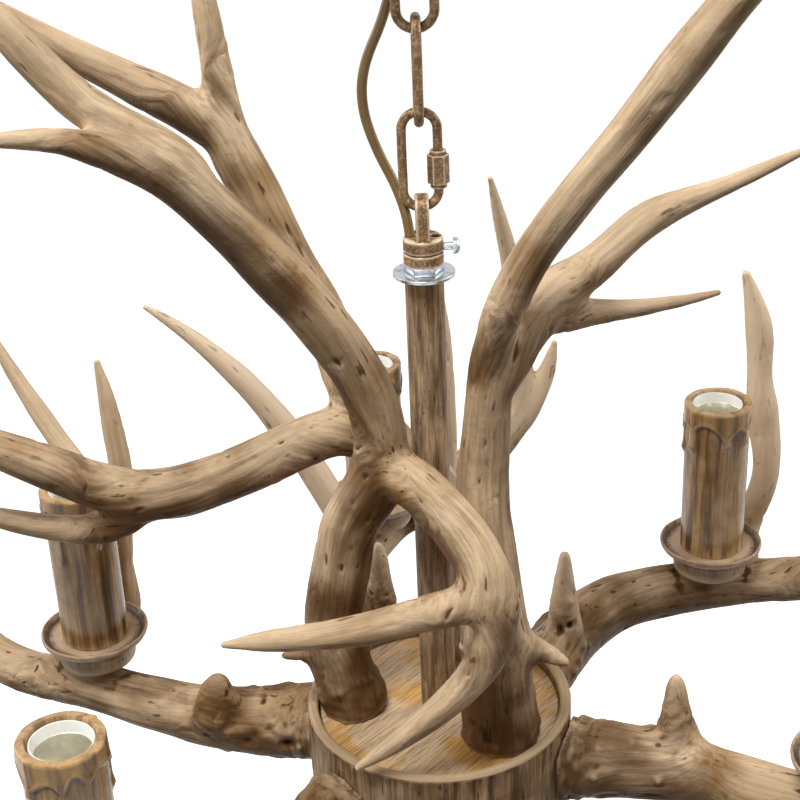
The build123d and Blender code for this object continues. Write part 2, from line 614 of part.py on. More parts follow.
def arm_limbs(arm):
    """The limbs of one arm in the arm's own frame."""
    top = arm["tine"]
    if arm["form"] == "bladed":
        limbs = [SWEPT_BEAM, SWEPT_PRONG, BLADE + [(184, 16.5, top, 1.2)]]
    elif arm["form"] == "swept":
        limbs = [SWEPT_BEAM, SWEPT_PRONG, inner_tine(top), LONG_TINE]
    elif arm["form"] == "forked":
        limbs = [STRAIGHT_BEAM, FORKED_TINE + [(147, -41, top, 1.2)], FORKED_PRONG]
    else:
        limbs = [STRAIGHT_BEAM, outer_tine(top)]
    return limbs + [brow_stub(arm["brow"])]


def arm_antler(arm):
    """One lower antler: cut to the drum at its root, with a flat seat for the candle's cup."""
    whole = Pos(DRUM_R + arm["out"], 0, RIM_Z + arm["up"]) * antler(arm_limbs(arm))
    whole = Rot(0, 0, arm["azimuth"]) * whole
    whole -= at_candle(arm, rod(CUP_R + SEAT_GAP, CUP_FOOT_Z - SEAT_GAP, CANDLE_TOP_Z))
    whole -= at_candle(arm, rod(NIPPLE_R + SLIP, -24, 0))
    whole -= rod(DRUM_R + SEAT_GAP, DRUM_FOOT_Z - 50, RIM_Z + 200)
    return whole - radial_rod(arm, STUD_R + SLIP, DRUM_R - SINK, DRUM_R + STUD_IN_ARM)


# ---------------------------------------------------------------------------------------------
# candles
# ---------------------------------------------------------------------------------------------
def at_candle(arm, shape):
    """Moves a piece made on the Z axis, with z from the rim's plane, to one arm's candle."""
    place = Pos(CANDLE_RING_R + arm["out"], 0, RIM_Z + arm["up"])
    return Rot(0, 0, arm["azimuth"]) * place * shape


def drip_dish():
    """The cup and the drip dish above it, turned in one piece."""
    outline = [(NIPPLE_R + SLIP, CUP_FOOT_Z), (CUP_R - 2, CUP_FOOT_Z), (CUP_R, CUP_FOOT_Z + 3)]
    outline += [(CUP_R, DISH_Z), (DISH_R - 3, DISH_Z), (DISH_R, DISH_Z + 2.5)]
    outline += [(DISH_R, DISH_Z + DISH_LIP), (DISH_R - 2, DISH_Z + DISH_LIP)]
    outline += [(DISH_R - 3.6, DISH_TOP_Z), (NIPPLE_R + SLIP, DISH_TOP_Z)]
    return lathe(outline)


def candle_sleeve(turn):
    """The resin candle sleeve with wax drips running down from its rim."""
    low = DISH_TOP_Z + SEAT_GAP
    top = CANDLE_TOP_Z
    outline = [(CANDLE_BORE_R, low), (CANDLE_R, low), (CANDLE_R, top - CANDLE_RIM_H - 3)]
    outline += [(CANDLE_RIM_R, top - CANDLE_RIM_H), (CANDLE_RIM_R, top - 1.2)]
    outline += [(CANDLE_RIM_R - 1.4, top), (CANDLE_BORE_R, top)]
    sleeve = lathe(outline)
    for index in range(DRIP_COUNT):
        angle = turn + index * 360 / DRIP_COUNT
        length = 20 + 9 * math.sin(2.4 * index + turn)
        drip = drip_run(length)
        sleeve += Rot(0, 0, angle) * Pos(CANDLE_R - 0.4, 0, top - CANDLE_RIM_H) * drip
    return sleeve


def drip_run(length):
    """One run of wax: a slender drop that hangs from the rim and swells at its end."""
    steps = [(2, 0.8), (-0.5 * length, 0.7), (-0.85 * length, 1), (-length, 0.7), (-length - 1.6, 0.2)]
    sections = [Pos(0, 0, z) * RegularPolygon(DRIP_R * share, 6) for z, share in steps]
    return loft(sections, ruled=True)


def candle_stem():
    """The threaded tube that clamps the dish and carries the lamp holder."""
    return tube(NIPPLE_R, NIPPLE_BORE_R, CUP_FOOT_Z - 9, HOLDER_FOOT_Z - SEAT_GAP)


def lamp_holder():
    """The white lamp holder inside the sleeve, open at the top."""
    holder = rod(HOLDER_R, HOLDER_FOOT_Z, HOLDER_TOP_Z)
    holder -= rod(HOLDER_BORE_R, HOLDER_FOOT_Z + HOLDER_FLOOR, HOLDER_TOP_Z + SINK)
    return holder


def screw_shell():
    """The thin metal screw shell that takes the lamp."""
    top = HOLDER_TOP_Z - SHELL_DOWN
    outer = HOLDER_BORE_R - SLIP / 2
    return tube(outer, outer - SHELL_WALL, top - SHELL_LENGTH, top)


def centre_contact():
    """The spring contact on the holder's floor."""
    low = HOLDER_FOOT_Z + HOLDER_FLOOR
    return rod(CONTACT_R, low, low + CONTACT_H)


# ---------------------------------------------------------------------------------------------
# supply cord
# ---------------------------------------------------------------------------------------------
def cord_points():
    """The cord's route from the cap's left hole up to the canopy, chosen by hand."""
    start = [(-CAP_HOLE_X, 0, CAP_TOP_Z - 7.5), (-CAP_HOLE_X, 0, CAP_TOP_Z + 4.5)]
    bow = [(-10.8, 6.3, CAP_TOP_Z + 21.5), (-20, 8.5, CAP_TOP_Z + 40), (-26, 9.5, CAP_TOP_Z + 60)]
    rise = [(-24.5, 10.5, CAP_TOP_Z + 79), (-13.5, 12, CAP_TOP_Z + 101)]
    end = [(-8, 12.7, CAP_TOP_Z + 122), (*GROMMET_AT, CANOPY_UNDER - 11)]
    end += [(*GROMMET_AT, CANOPY_UNDER + 6)]
    return [Vector(*p) for p in start + bow + rise + end]


def supply_cord():
    """The cord as a tube along straight runs joined by tangent arcs."""
    points = cord_points()
    radii = []
    for before, here, after in zip(points, points[1:], points[2:]):
        turn = math.radians((here - before).get_angle(after - here))
        shorter = min((here - before).length, (after - here).length)
        radii.append(0.45 * shorter / math.tan(turn / 2))
    path = FilletPolyline(*points, radius=radii)
    print("cord radii", [round(r) for r in radii], "length", round(path.length, 1))
    section = Plane(origin=points[0], z_dir=points[1] - points[0]) * Circle(CORD_R)
    cord = sweep(section, path)
    print("cord volume", round(cord.volume), "section times length",
          round(math.pi * CORD_R**2 * path.length))
    return cord


# ---------------------------------------------------------------------------------------------
# build
# ---------------------------------------------------------------------------------------------
def main():
    save(canopy(), "canopy")
    save(crossbar(), "ceiling_crossbar")
    save(group([canopy_screw(x) for x in (-CANOPY_SCREW_X, CANOPY_SCREW_X)]), "canopy_screws")
    save(hanging_loop(), "hanging_loop")
    save(lock_nut(), "loop_lock_nut")
    save(grommet(), "canopy_grommet")
    save(oval_link(LINK_LENGTH, LINK_WIDTH, LINK_WIRE_R, UPPER_TOP_Z), "upper_link")
    middle = oval_link(LINK_LENGTH, LINK_WIDTH, LINK_WIRE_R, MIDDLE_TOP_Z)
    save(Rot(0, 0, 90) * middle, "middle_link")
    save(quick_link(), "quick_link")
    save(sleeve_nut(), "quick_link_nut")
    save(loop_cap(), "loop_cap")
    save(cap_screw(), "cap_screw")
    save(cap_nut(), "cap_nut")
    save(stem_washer(), "stem_washer")
    save(stem_pipe(), "stem_pipe")
    save(threaded_rod(), "threaded_rod")
    save(drum(), "drum")
    save(top_plate(), "top_plate")
    save(bottom_plate(), "bottom_plate")
    save(bottom_washer(), "bottom_washer")
    save(bottom_nut(), "bottom_nut")
    save(group([arm_stud(arm) for arm in ARMS]), "arm_studs")
    save(group([arm_nut(arm) for arm in ARMS]), "arm_nuts")
    save(upper_antler(LEFT_ANTLER, ANTLER_FEET["left"]), "upper_antler_left")
    save(upper_antler(RIGHT_ANTLER, ANTLER_FEET["right"]), "upper_antler_right")
    save(upper_antler(REAR_ANTLER, ANTLER_FEET["rear"]), "upper_antler_rear")
    places = [place for foot in ANTLER_FEET.values() for place in screw_places(*foot)]
    save(group([antler_screw(*place) for place in places]), "antler_screws")
    for number, arm in enumerate(ARMS, 1):
        save(arm_antler(arm), f"arm_antler_{number}")
        save(at_candle(arm, drip_dish()), f"drip_dish_{number}")
        save(at_candle(arm, candle_sleeve(17 * number)), f"candle_sleeve_{number}")
        save(at_candle(arm, lamp_holder()), f"lamp_holder_{number}")
    save(group([at_candle(arm, candle_stem()) for arm in ARMS]), "candle_stems")
    save(group([at_candle(arm, screw_shell()) for arm in ARMS]), "screw_shells")
    save(group([at_candle(arm, centre_contact()) for arm in ARMS]), "centre_contacts")
    save(supply_cord(), "supply_cord")


main()
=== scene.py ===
import heapq
import logging
import math
from dataclasses import dataclass, field
from enum import Enum
from typing import Callable, Iterable, Sequence

import bpy
import numpy as np
from mathutils import Matrix, Vector, noise


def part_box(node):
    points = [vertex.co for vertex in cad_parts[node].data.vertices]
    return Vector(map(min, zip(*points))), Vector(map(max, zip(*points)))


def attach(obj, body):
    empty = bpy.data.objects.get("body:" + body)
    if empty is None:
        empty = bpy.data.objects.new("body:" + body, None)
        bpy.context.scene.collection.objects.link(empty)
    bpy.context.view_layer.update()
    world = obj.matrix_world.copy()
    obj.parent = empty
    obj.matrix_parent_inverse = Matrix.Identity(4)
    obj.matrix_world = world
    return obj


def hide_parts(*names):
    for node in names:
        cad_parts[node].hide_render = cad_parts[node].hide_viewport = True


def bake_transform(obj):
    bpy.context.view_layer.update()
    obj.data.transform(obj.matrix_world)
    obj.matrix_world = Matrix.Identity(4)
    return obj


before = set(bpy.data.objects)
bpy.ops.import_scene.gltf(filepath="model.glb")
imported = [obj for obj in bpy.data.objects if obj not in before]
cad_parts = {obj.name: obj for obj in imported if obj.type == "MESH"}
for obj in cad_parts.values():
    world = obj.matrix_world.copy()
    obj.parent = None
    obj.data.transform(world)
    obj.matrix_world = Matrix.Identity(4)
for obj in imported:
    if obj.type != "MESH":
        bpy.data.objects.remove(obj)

LOG = logging.getLogger("antler_chandelier")
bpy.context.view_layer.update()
MM = 0.001
Colour = tuple[float, float, float]
Spot = tuple[float, float, float]
Array = np.ndarray
Piece = bpy.types.Object
Node = bpy.types.Node
Socket = bpy.types.NodeSocket
Tree = bpy.types.NodeTree


# ---- measures read from the frame --------------------------------
def low(node: str, axis: int = 2) -> float:
    """Lowest coordinate of a CAD node along an axis, in metres."""
    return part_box(node)[0][axis]


def high(node: str, axis: int = 2) -> float:
    """Highest coordinate of a CAD node along an axis, in metres."""
    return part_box(node)[1][axis]


def middle(node: str) -> Vector:
    """Middle of a CAD node's box."""
    lowest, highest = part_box(node)
    return (Vector(lowest) + Vector(highest)) / 2


RIM = high("drum")
WASHER_TALL, NUT_TALL, CAP_TALL = 1.8, 4.0, 13.6
CAP_TOP = low("stem_washer") + (WASHER_TALL + NUT_TALL + CAP_TALL) * MM
CANOPY_UNDER = -24.0 * MM


# ---- mesh helpers ------------------------------------------------
def deselect() -> None:
    """Leaves edit mode and selects nothing."""
    if bpy.context.object and bpy.context.object.mode != "OBJECT":
        bpy.ops.object.mode_set(mode="OBJECT")
    bpy.ops.object.select_all(action="DESELECT")


def pick(obj: Piece) -> None:
    """Makes one object the only selected and the active one."""
    deselect()
    obj.select_set(True)
    bpy.context.view_layer.objects.active = obj


def apply_modifier(obj: Piece, kind: str, **settings: object) -> None:
    """Adds one modifier to an object and applies it.

    Args:
        obj: The object to change.
        kind: The modifier's type.
        settings: The modifier's own settings.
    """
    pick(obj)
    modifier = obj.modifiers.new(kind.title(), kind)
    for name, value in settings.items():
        setattr(modifier, name, value)
    bpy.ops.object.modifier_apply(modifier=modifier.name)


def smooth_shade(obj: Piece, angle: float) -> None:
    """Shades an object smooth up to an angle in degrees."""
    pick(obj)
    bpy.ops.object.shade_smooth_by_angle(angle=math.radians(angle))


def add_object(name: str, data: bpy.types.ID) -> Piece:
    """Adds an object with the given mesh, curve, camera or light to the scene."""
    obj = bpy.data.objects.new(name, data)
    bpy.context.scene.collection.objects.link(obj)
    return obj


def merged_copy(node: str, name: str) -> Piece:
    """Copies a CAD node's mesh as a new object with its doubles merged.

    Args:
        node: The CAD node.
        name: The new object's name.

    Returns:
        The new object, at the origin.
    """
    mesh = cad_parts[node].data.copy()
    obj = add_object(name, mesh)
    mesh.name = name
    mesh.materials.clear()
    pick(obj)
    bpy.ops.object.mode_set(mode="EDIT")
    bpy.ops.mesh.select_all(action="SELECT")
    bpy.ops.mesh.remove_doubles(threshold=2e-6)
    bpy.ops.object.mode_set(mode="OBJECT")
    return obj


def turned(name: str, outline: Sequence[tuple[float, float]], segments: int) -> Piece:
    """Turns a closed outline round the Z axis, from a ring extruded point by point.

    Args:
        name: The new object's name.
        outline: (radius, height) points in metres, off the axis.
        segments: Steps round the axis.

    Returns:
        The new object, on the Z axis.
    """
    deselect()
    radius, height = outline[0]
    bpy.ops.mesh.primitive_circle_add(vertices=segments, radius=radius, location=(0, 0, height))
    obj = bpy.context.object
    obj.name = obj.data.name = name
    bpy.ops.object.mode_set(mode="EDIT")
    bpy.ops.mesh.select_all(action="SELECT")
    for next_radius, next_height in [*outline[1:], outline[0]]:
        ratio = next_radius / radius
        bpy.ops.mesh.extrude_edges_move(
            TRANSFORM_OT_translate={"value": (0, 0, next_height - height)})
        bpy.ops.transform.resize(value=(ratio, ratio, 1))
        radius, height = next_radius, next_height
    close_up(obj, 1e-6)
    return obj


def close_up(obj: Piece, gap: float) -> None:
    """Closes a mesh that is being edited, and moves its object to the origin.

    Args:
        obj: The object, in edit mode. Its place goes into its mesh.
        gap: Vertices closer than this become one, in metres.
    """
    bpy.ops.mesh.select_all(action="SELECT")
    bpy.ops.mesh.remove_doubles(threshold=gap)
    bpy.ops.mesh.normals_make_consistent(inside=False)
    bpy.ops.object.mode_set(mode="OBJECT")
    obj.data.transform(obj.matrix_world)
    obj.matrix_world = Matrix.Identity(4)


def placed(obj: Piece, name: str, place: Matrix) -> Piece:
    """Copies an object with its own mesh, and puts it in its place.

    Args:
        obj: The modelled piece.
        name: The copy's name.
        place: The copy's place, put into its mesh.

    Returns:
        The copy.
    """
    mesh = obj.data.copy()
    mesh.transform(place)
    copy = add_object(name, mesh)
    mesh.name = name
    return copy


def discard(obj: Piece) -> None:
    """Removes a piece that only served as a pattern or a guide line."""
    bpy.data.objects.remove(obj)


def read(collection: bpy.types.bpy_prop_collection, key: str, width: int,
         kind: type = np.float32) -> Array:
    """Reads one property of all vertices or edges as an array of rows."""
    flat = np.empty(len(collection) * width, dtype=kind)
    collection.foreach_get(key, flat)
    return flat.reshape(-1, width)


def points_of(obj: Piece) -> Array:
    """The vertices of a mesh as an array of rows."""
    return read(obj.data.vertices, "co", 3).astype(float)


def set_points(obj: Piece, points: Array) -> None:
    """Writes the vertices of a mesh."""
    obj.data.vertices.foreach_set("co", points.astype(np.float32).ravel())
    obj.data.update()


def normals_of(obj: Piece) -> Array:
    """The vertex normals of a mesh as an array of rows."""
    obj.data.update()
    return read(obj.data.vertices, "normal", 3).astype(float)


def store(obj: Piece, name: str, values: Array) -> None:
    """Keeps a number or a vector for each vertex under a name that materials can read."""
    kind, key = ("FLOAT", "value") if values.ndim == 1 else ("FLOAT_VECTOR", "vector")
    attribute = obj.data.attributes.new(name, kind, "POINT")
    attribute.data.foreach_set(key, values.astype(np.float32).ravel())


class Neighbours:
    """Averages over each vertex's neighbours in a mesh."""

    def __init__(self, obj: Piece) -> None:
        """Reads the mesh's edges."""
        edges = read(obj.data.edges, "vertices", 2, np.int32)
        self.count = len(obj.data.vertices)
        self.here = np.concatenate([edges[:, 0], edges[:, 1]])
        self.there = np.concatenate([edges[:, 1], edges[:, 0]])
        self.degree = np.maximum(np.bincount(self.here, minlength=self.count), 1)

    def mean(self, values: Array) -> Array:
        """The mean of the neighbours' values, for numbers or rows."""
        if values.ndim == 1:
            return np.bincount(self.here, values[self.there], self.count) / self.degree
        return np.stack([self.mean(values[:, k]) for k in range(values.shape[1])], axis=1)

    def soften(self, values: Array, times: int, weight: Array | float = 0.5) -> Array:
        """Averages values with their neighbours' a number of times.

        Args:
            values: Numbers or rows, one for each vertex.
            times: How many rounds.
            weight: How much of the neighbours' mean is taken each round.

        Returns:
            The softened values.
        """
        if isinstance(weight, Array) and values.ndim == 2:
            weight = weight[:, None]
        for _ in range(times):
            values = values + (self.mean(values) - values) * weight
        return values


def noise_at(points: Array, scale: float, octaves: int, seed: float) -> Array:
    """Smooth noise from about -1 to 1 at each point.

    Args:
        points: The places, in metres.
        scale: The size of a bump, in metres.
        octaves: How many finer layers are added.
        seed: Moves the pattern.

    Returns:
        One number for each point.
    """
    shift = Vector((seed, seed * 1.7, -seed))
    rough, finer = 0.8, 2.0
    return np.array([
        noise.fractal(Vector(p) + shift, rough, finer, octaves, noise_basis="PERLIN_ORIGINAL")
        for p in points / scale
    ])


def ramp(values: Array, width: float, start: float = 0.0) -> Array:
    """Rises from 0 at a start to 1 over a width, and stays there."""
    return np.clip((values - start) / width, 0, 1)


def off_axis(points: Array, x: float = 0.0, y: float = 0.0) -> Array:
    """Distance of each point from an upright axis."""
    return np.hypot(points[:, 0] - x, points[:, 1] - y)


def bell(values: Array, width: float) -> Array:
    """1 where a value is 0, falling to 0 on both sides."""
    return np.exp(-(values / width) ** 2)


# ---- node helpers and shared effects -----------------------------
class Nodes:
    """A short way to add and join shader nodes in one tree."""

    def __init__(self, tree: Tree) -> None:
        """Keeps the tree."""
        self.tree = tree

    def add(self, kind: str, inputs: dict | None = None, **settings: object) -> Node:
        """Adds one node.

        Args:
            kind: The node's type name.
            inputs: Values or sockets for its inputs, by name or number.
            settings: The node's own settings.

        Returns:
            The node.
        """
        node = self.tree.nodes.new(kind)
        for name, value in settings.items():
            setattr(node, name, value)
        for key, value in (inputs or {}).items():
            socket = node.inputs[key]
            if isinstance(value, Socket):
                self.tree.links.new(value, socket)
            else:
                socket.default_value = value
        return node

    def mix(self, factor: object, first: object, second: object) -> Socket:
        """Mixes two colours and returns the mixed colour's socket."""
        node = self.add("ShaderNodeMix", data_type="RGBA")
        for index, value in ((0, factor), (6, first), (7, second)):
            self.put(node.inputs[index], value)
        return node.outputs[2]

    def put(self, socket: Socket, value: object) -> None:
        """Links or sets one socket."""
        if isinstance(value, Socket):
            self.tree.links.new(value, socket)
        elif isinstance(value, tuple) and len(value) == 3 and socket.type == "RGBA":
            socket.default_value = (*value, 1.0)
        else:
            socket.default_value = value

    def math(self, operation: str, first: object, second: object = 0.0,
             clamp: bool = False) -> Socket:
        """One math step."""
        node = self.add("ShaderNodeMath", operation=operation, use_clamp=clamp)
        self.put(node.inputs[0], first)
        self.put(node.inputs[1], second)
        return node.outputs[0]

    def step(self, value: Socket, start: float, end: float) -> Socket:
        """A smooth step from 0 at start to 1 at end."""
        node = self.add("ShaderNodeMapRange",
                        {"Value": value, "From Min": start, "From Max": end},
                        interpolation_type="SMOOTHSTEP")
        return node.outputs[0]

    def span(self, value: Socket, start: float, end: float) -> Socket:
        """A value from 0 to 1 spread between two numbers."""
        return self.add("ShaderNodeMapRange",
                        {"Value": value, "To Min": start, "To Max": end}).outputs[0]

    def wash(self, colour: object, mask: Socket, share: object, other: object) -> Socket:
        """Covers a colour with another one, by a share of a mask."""
        return self.mix(self.math("MULTIPLY", mask, share), colour, other)

    def noise(self, vector: object, scale: object, detail: float,
              roughness: float = 0.55) -> Socket:
        """A noise texture's value."""
        inputs = {"Vector": vector, "Scale": scale, "Detail": detail, "Roughness": roughness}
        return self.add("ShaderNodeTexNoise", inputs).outputs[0]

    def stretch(self, vector: Socket, scale: Spot, turn: float = 0.0) -> Socket:
        """A vector turned about Z, then scaled."""
        if turn:
            vector = self.add("ShaderNodeMapping", {"Vector": vector,
                                                    "Rotation": (0, 0, turn)}).outputs[0]
        return self.add("ShaderNodeMapping", {"Vector": vector, "Scale": scale}).outputs[0]

    def vector(self, operation: str, inputs: dict) -> Node:
        """One vector math step."""
        return self.add("ShaderNodeVectorMath", inputs, operation=operation)

    def stored(self, name: str, output: str = "Fac") -> Socket:
        """What the mesh keeps for each vertex under a name, such as its cavity."""
        return self.add("ShaderNodeAttribute", attribute_name=name).outputs[output]


def effect(name: str, inputs: dict[str, tuple[str, object]], outputs: dict[str, str],
           build: Callable[[Nodes, Node, Node], None]) -> Tree:
    """Builds a shared shader node group once.

    Args:
        name: The group's name.
        inputs: Socket types and default values by name, None for a vector.
        outputs: Socket types by name.
        build: Fills the group, given its nodes, its input node and its output node.

    Returns:
        The node group.
    """
    if name in bpy.data.node_groups:
        return bpy.data.node_groups[name]
    tree = bpy.data.node_groups.new(name, "ShaderNodeTree")
    for label, (kind, value) in inputs.items():
        socket = tree.interface.new_socket(label, in_out="INPUT", socket_type=kind)
        if value is not None:
            socket.default_value = value
    for label, kind in outputs.items():
        tree.interface.new_socket(label, in_out="OUTPUT", socket_type=kind)
    nodes = Nodes(tree)
    build(nodes, tree.nodes.new("NodeGroupInput"), tree.nodes.new("NodeGroupOutput"))
    return tree


FLOAT, VECTOR = "NodeSocketFloat", "NodeSocketVector"


def streak_effect() -> Tree:
    """Long streaks along the third coordinate: broad bands, fine lines and short dashes."""

    def build(n: Nodes, given: Node, out: Node) -> None:
        """Fills the group."""
        where = n.vector("SCALE", {"Vector": given.outputs["Where"],
                                   "Scale": given.outputs["Fineness"]}).outputs[0]
        broad = n.noise(n.stretch(where, (1, 1, 0.10)), 115.0, 3.0, 0.5)
        fine = n.noise(n.stretch(where, (1, 1, 0.045)), 480.0, 3.0, 0.6)
        dash = n.noise(n.stretch(where, (1, 1, 0.20)), 300.0, 2.0, 0.5)
        n.put(out.inputs["Broad"], n.step(broad, 0.42, 0.66))
        n.put(out.inputs["Fine"], n.step(fine, 0.42, 0.62))
        n.put(out.inputs["Dash"], n.step(dash, 0.64, 0.70))

    return effect("streaks", {"Where": (VECTOR, None), "Fineness": (FLOAT, 1.0)},
                  {"Broad": FLOAT, "Fine": FLOAT, "Dash": FLOAT}, build)


def patch_effect() -> Tree:
    """Cloudy patches in two sizes and small specks."""

    def build(n: Nodes, given: Node, out: Node) -> None:
        """Fills the group."""
        where, scale = given.outputs["Where"], given.outputs["Scale"]
        cloud = n.noise(where, scale, 4.0, 0.6)
        small = n.noise(where, n.math("MULTIPLY", scale, 9.0), 3.0, 0.65)
        n.put(out.inputs["Cloud"], n.step(cloud, 0.36, 0.64))
        n.put(out.inputs["Speck"], n.step(small, 0.52, 0.66))

    return effect("patches", {"Where": (VECTOR, None), "Scale": (FLOAT, 25.0)},
                  {"Cloud": FLOAT, "Speck": FLOAT}, build)


Surface = tuple[Socket, Socket | None, Socket]


@dataclass(frozen=True)
class Finish:
    """A material: its name and its plain gloss numbers."""

    name: str
    roughness: float = 0.5
    metallic: float = 0.0
    specular: float = 0.5
    bump: float = 0.3
    depth: float = 0.0003

    def material(self) -> bpy.types.Material:
        """The finish's material, built once."""
        found = bpy.data.materials.get(self.name + "_finish")
        if found:
            return found
        material = bpy.data.materials.new(self.name + "_finish")
        material.use_nodes = True
        nodes = Nodes(material.node_tree)
        shader = material.node_tree.nodes["Principled BSDF"]
        shader.inputs["Roughness"].default_value = self.roughness
        shader.inputs["Metallic"].default_value = self.metallic
        shader.inputs["Specular IOR Level"].default_value = self.specular
        colour, roughness, height = self.dress(nodes)
        nodes.put(shader.inputs["Base Color"], colour)
        if roughness:
            nodes.put(shader.inputs["Roughness"], roughness)
        bump = nodes.add("ShaderNodeBump", {"Strength": self.bump, "Distance": self.depth,
                                            "Height": height})
        nodes.put(shader.inputs["Normal"], bump.outputs[0])
        return material

    def dress(self, n: Nodes) -> Surface:
        """Adds the finish's own nodes.

        Args:
            n: The material's nodes.

        Returns:
            Its colour, its roughness if that varies, and its height.
        """
        raise NotImplementedError

    def where(self, n: Nodes) -> Socket:
        """Object coordinates."""
        return n.add("ShaderNodeTexCoord").outputs["Object"]

    def group(self, n: Nodes, tree: Tree, **inputs: object) -> Node:
        """Places a shared effect in this material."""
        node = n.add("ShaderNodeGroup", node_tree=tree)
        for name, value in inputs.items():
            n.put(node.inputs[name], value)
        return node

    def grain_place(self, n: Nodes) -> Socket:
        """The coordinates that follow a piece's own grain."""
        return n.stored("grain_co", "Vector")


@dataclass(frozen=True)
class AntlerFinish(Finish):
    """Cast resin antler: cream to tan, with brown stain along its streaks, and painted shade in its
    hollows and on its undersides.
    """

    cream: Colour = (0.93, 0.735, 0.520)
    light: Colour = (0.80, 0.595, 0.385)
    tan: Colour = (0.42, 0.245, 0.107)
    brown: Colour = (0.118, 0.057, 0.020)
    dark: Colour = (0.020, 0.009, 0.004)

    def dress(self, n: Nodes) -> Surface:
        """Streaks, patches, painted shade in the hollows, and pale ridges."""
        streaks = self.group(n, streak_effect(), Where=self.grain_place(n), Fineness=1.0)
        patches = self.group(n, patch_effect(), Where=self.where(n), Scale=24.0)
        cloud, speck = patches.outputs["Cloud"], patches.outputs["Speck"]
        cavity, stain_and_shade = n.stored("cavity"), n.stored("stain_and_shade")
        toned = n.math("ADD", n.math("MULTIPLY", stain_and_shade, 1.3), 0.22, clamp=True)
        colour = n.wash(self.light, cloud, toned, self.tan)
        colour = n.wash(colour, n.step(stain_and_shade, 0.0, -0.45), 0.70, self.cream)
        # Brown where the limb is stained, and painted shade where it faces down.
        colour = n.wash(colour, n.step(stain_and_shade, 0.22, 1.0), 0.88, self.brown)
        for label, base, share in (("Broad", 0.30, 0.72), ("Fine", 0.35, 0.45)):
            streak = n.math("MULTIPLY", streaks.outputs[label], n.math("ADD", stain_and_shade, base),
                            clamp=True)
            colour = n.wash(colour, streak, share, self.brown)
        dash = n.math("MULTIPLY", streaks.outputs["Dash"], cloud)
        colour = n.wash(colour, dash, 0.75, self.dark)
        # Painted shade: brown, then near black, in the hollows; the painted shadow round the cup's
        # seat comes in here too.
        colour = n.wash(colour, n.step(cavity, 0.06, 0.60), 0.85, self.brown)
        colour = n.wash(colour, n.step(cavity, 0.5, 1.6), 0.92, self.dark)
        colour = n.wash(colour, n.step(cavity, -0.25, -1.6), 0.26, self.light)
        height = n.math("SUBTRACT", speck, streaks.outputs["Fine"])
        return colour, n.span(speck, 0.46, 0.62), height


@dataclass(frozen=True)
class WoodGrainFinish(Finish):
    """Paint or resin with dark streaks that run along the grain, and painted shade in its hollows.
    """

    light: Colour = (0.40, 0.265, 0.150)
    base: Colour = (0.27, 0.168, 0.088)
    dark: Colour = (0.042, 0.019, 0.006)
    darkness: float = 0.85
    fineness: float = 1.0

    def dress(self, n: Nodes) -> Surface:
        """Broad and fine dark streaks over a brown ground."""
        streaks = self.group(n, streak_effect(), Where=self.grain_place(n),
                             Fineness=self.fineness)
        patches = self.group(n, patch_effect(), Where=self.where(n), Scale=40.0)
        cavity = n.stored("cavity")
        colour = n.mix(patches.outputs["Cloud"], self.light, self.base)
        for label, share in (("Broad", self.darkness), ("Fine", 0.6 * self.darkness),
                             ("Dash", 0.7)):
            colour = n.wash(colour, streaks.outputs[label], share, self.dark)
        # Painted shade: dark in the hollows, such as the drum's grooves; paler on the ridges.
        colour = n.wash(colour, n.step(cavity, 0.1, 0.9), 0.85, self.dark)
        colour = n.wash(colour, n.step(cavity, -0.1, -0.9), 0.75, self.light)
        return colour, None, n.math("MULTIPLY", streaks.outputs["Fine"], -1.0)


@dataclass(frozen=True)
class AntiqueFinish(Finish):
    """Antique metal paint: brown, rubbed with pale gold that is thickest on its edges."""

    pale: Colour = (0.70, 0.54, 0.36)
    base: Colour = (0.300, 0.170, 0.075)
    dark: Colour = (0.085, 0.038, 0.014)

    def dress(self, n: Nodes) -> Surface:
        """Specks, dark blotches and worn edges."""
        place = self.where(n)
        patches = self.group(n, patch_effect(), Where=place, Scale=170.0)
        blotch, cavity = n.noise(place, 700.0, 2.0), n.stored("cavity")
        colour = n.wash(self.base, patches.outputs["Cloud"], 0.70, self.dark)
        colour = n.wash(colour, n.step(blotch, 0.48, 0.68), 0.42, self.pale)
        colour = n.wash(colour, n.step(cavity, -0.10, -0.70), 0.85, self.pale)
        colour = n.wash(colour, n.step(cavity, 0.1, 0.8), 0.85, self.dark)
        return colour, n.span(blotch, 0.30, 0.62), blotch


@dataclass(frozen=True)
class ZincFinish(Finish):
    """Bright zinc plating with faint cloudiness."""

    tint: Colour = (0.52, 0.55, 0.58)
    shade: Colour = (0.27, 0.29, 0.31)

    def dress(self, n: Nodes) -> Surface:
        """A cloudy tint."""
        place = self.where(n)
        cloud = n.noise(place, 220.0, 4.0)
        colour = n.mix(n.step(cloud, 0.45, 0.75), self.tint, self.shade)
        return colour, n.span(cloud, 0.20, 0.38), n.noise(place, 1500.0, 2.0)


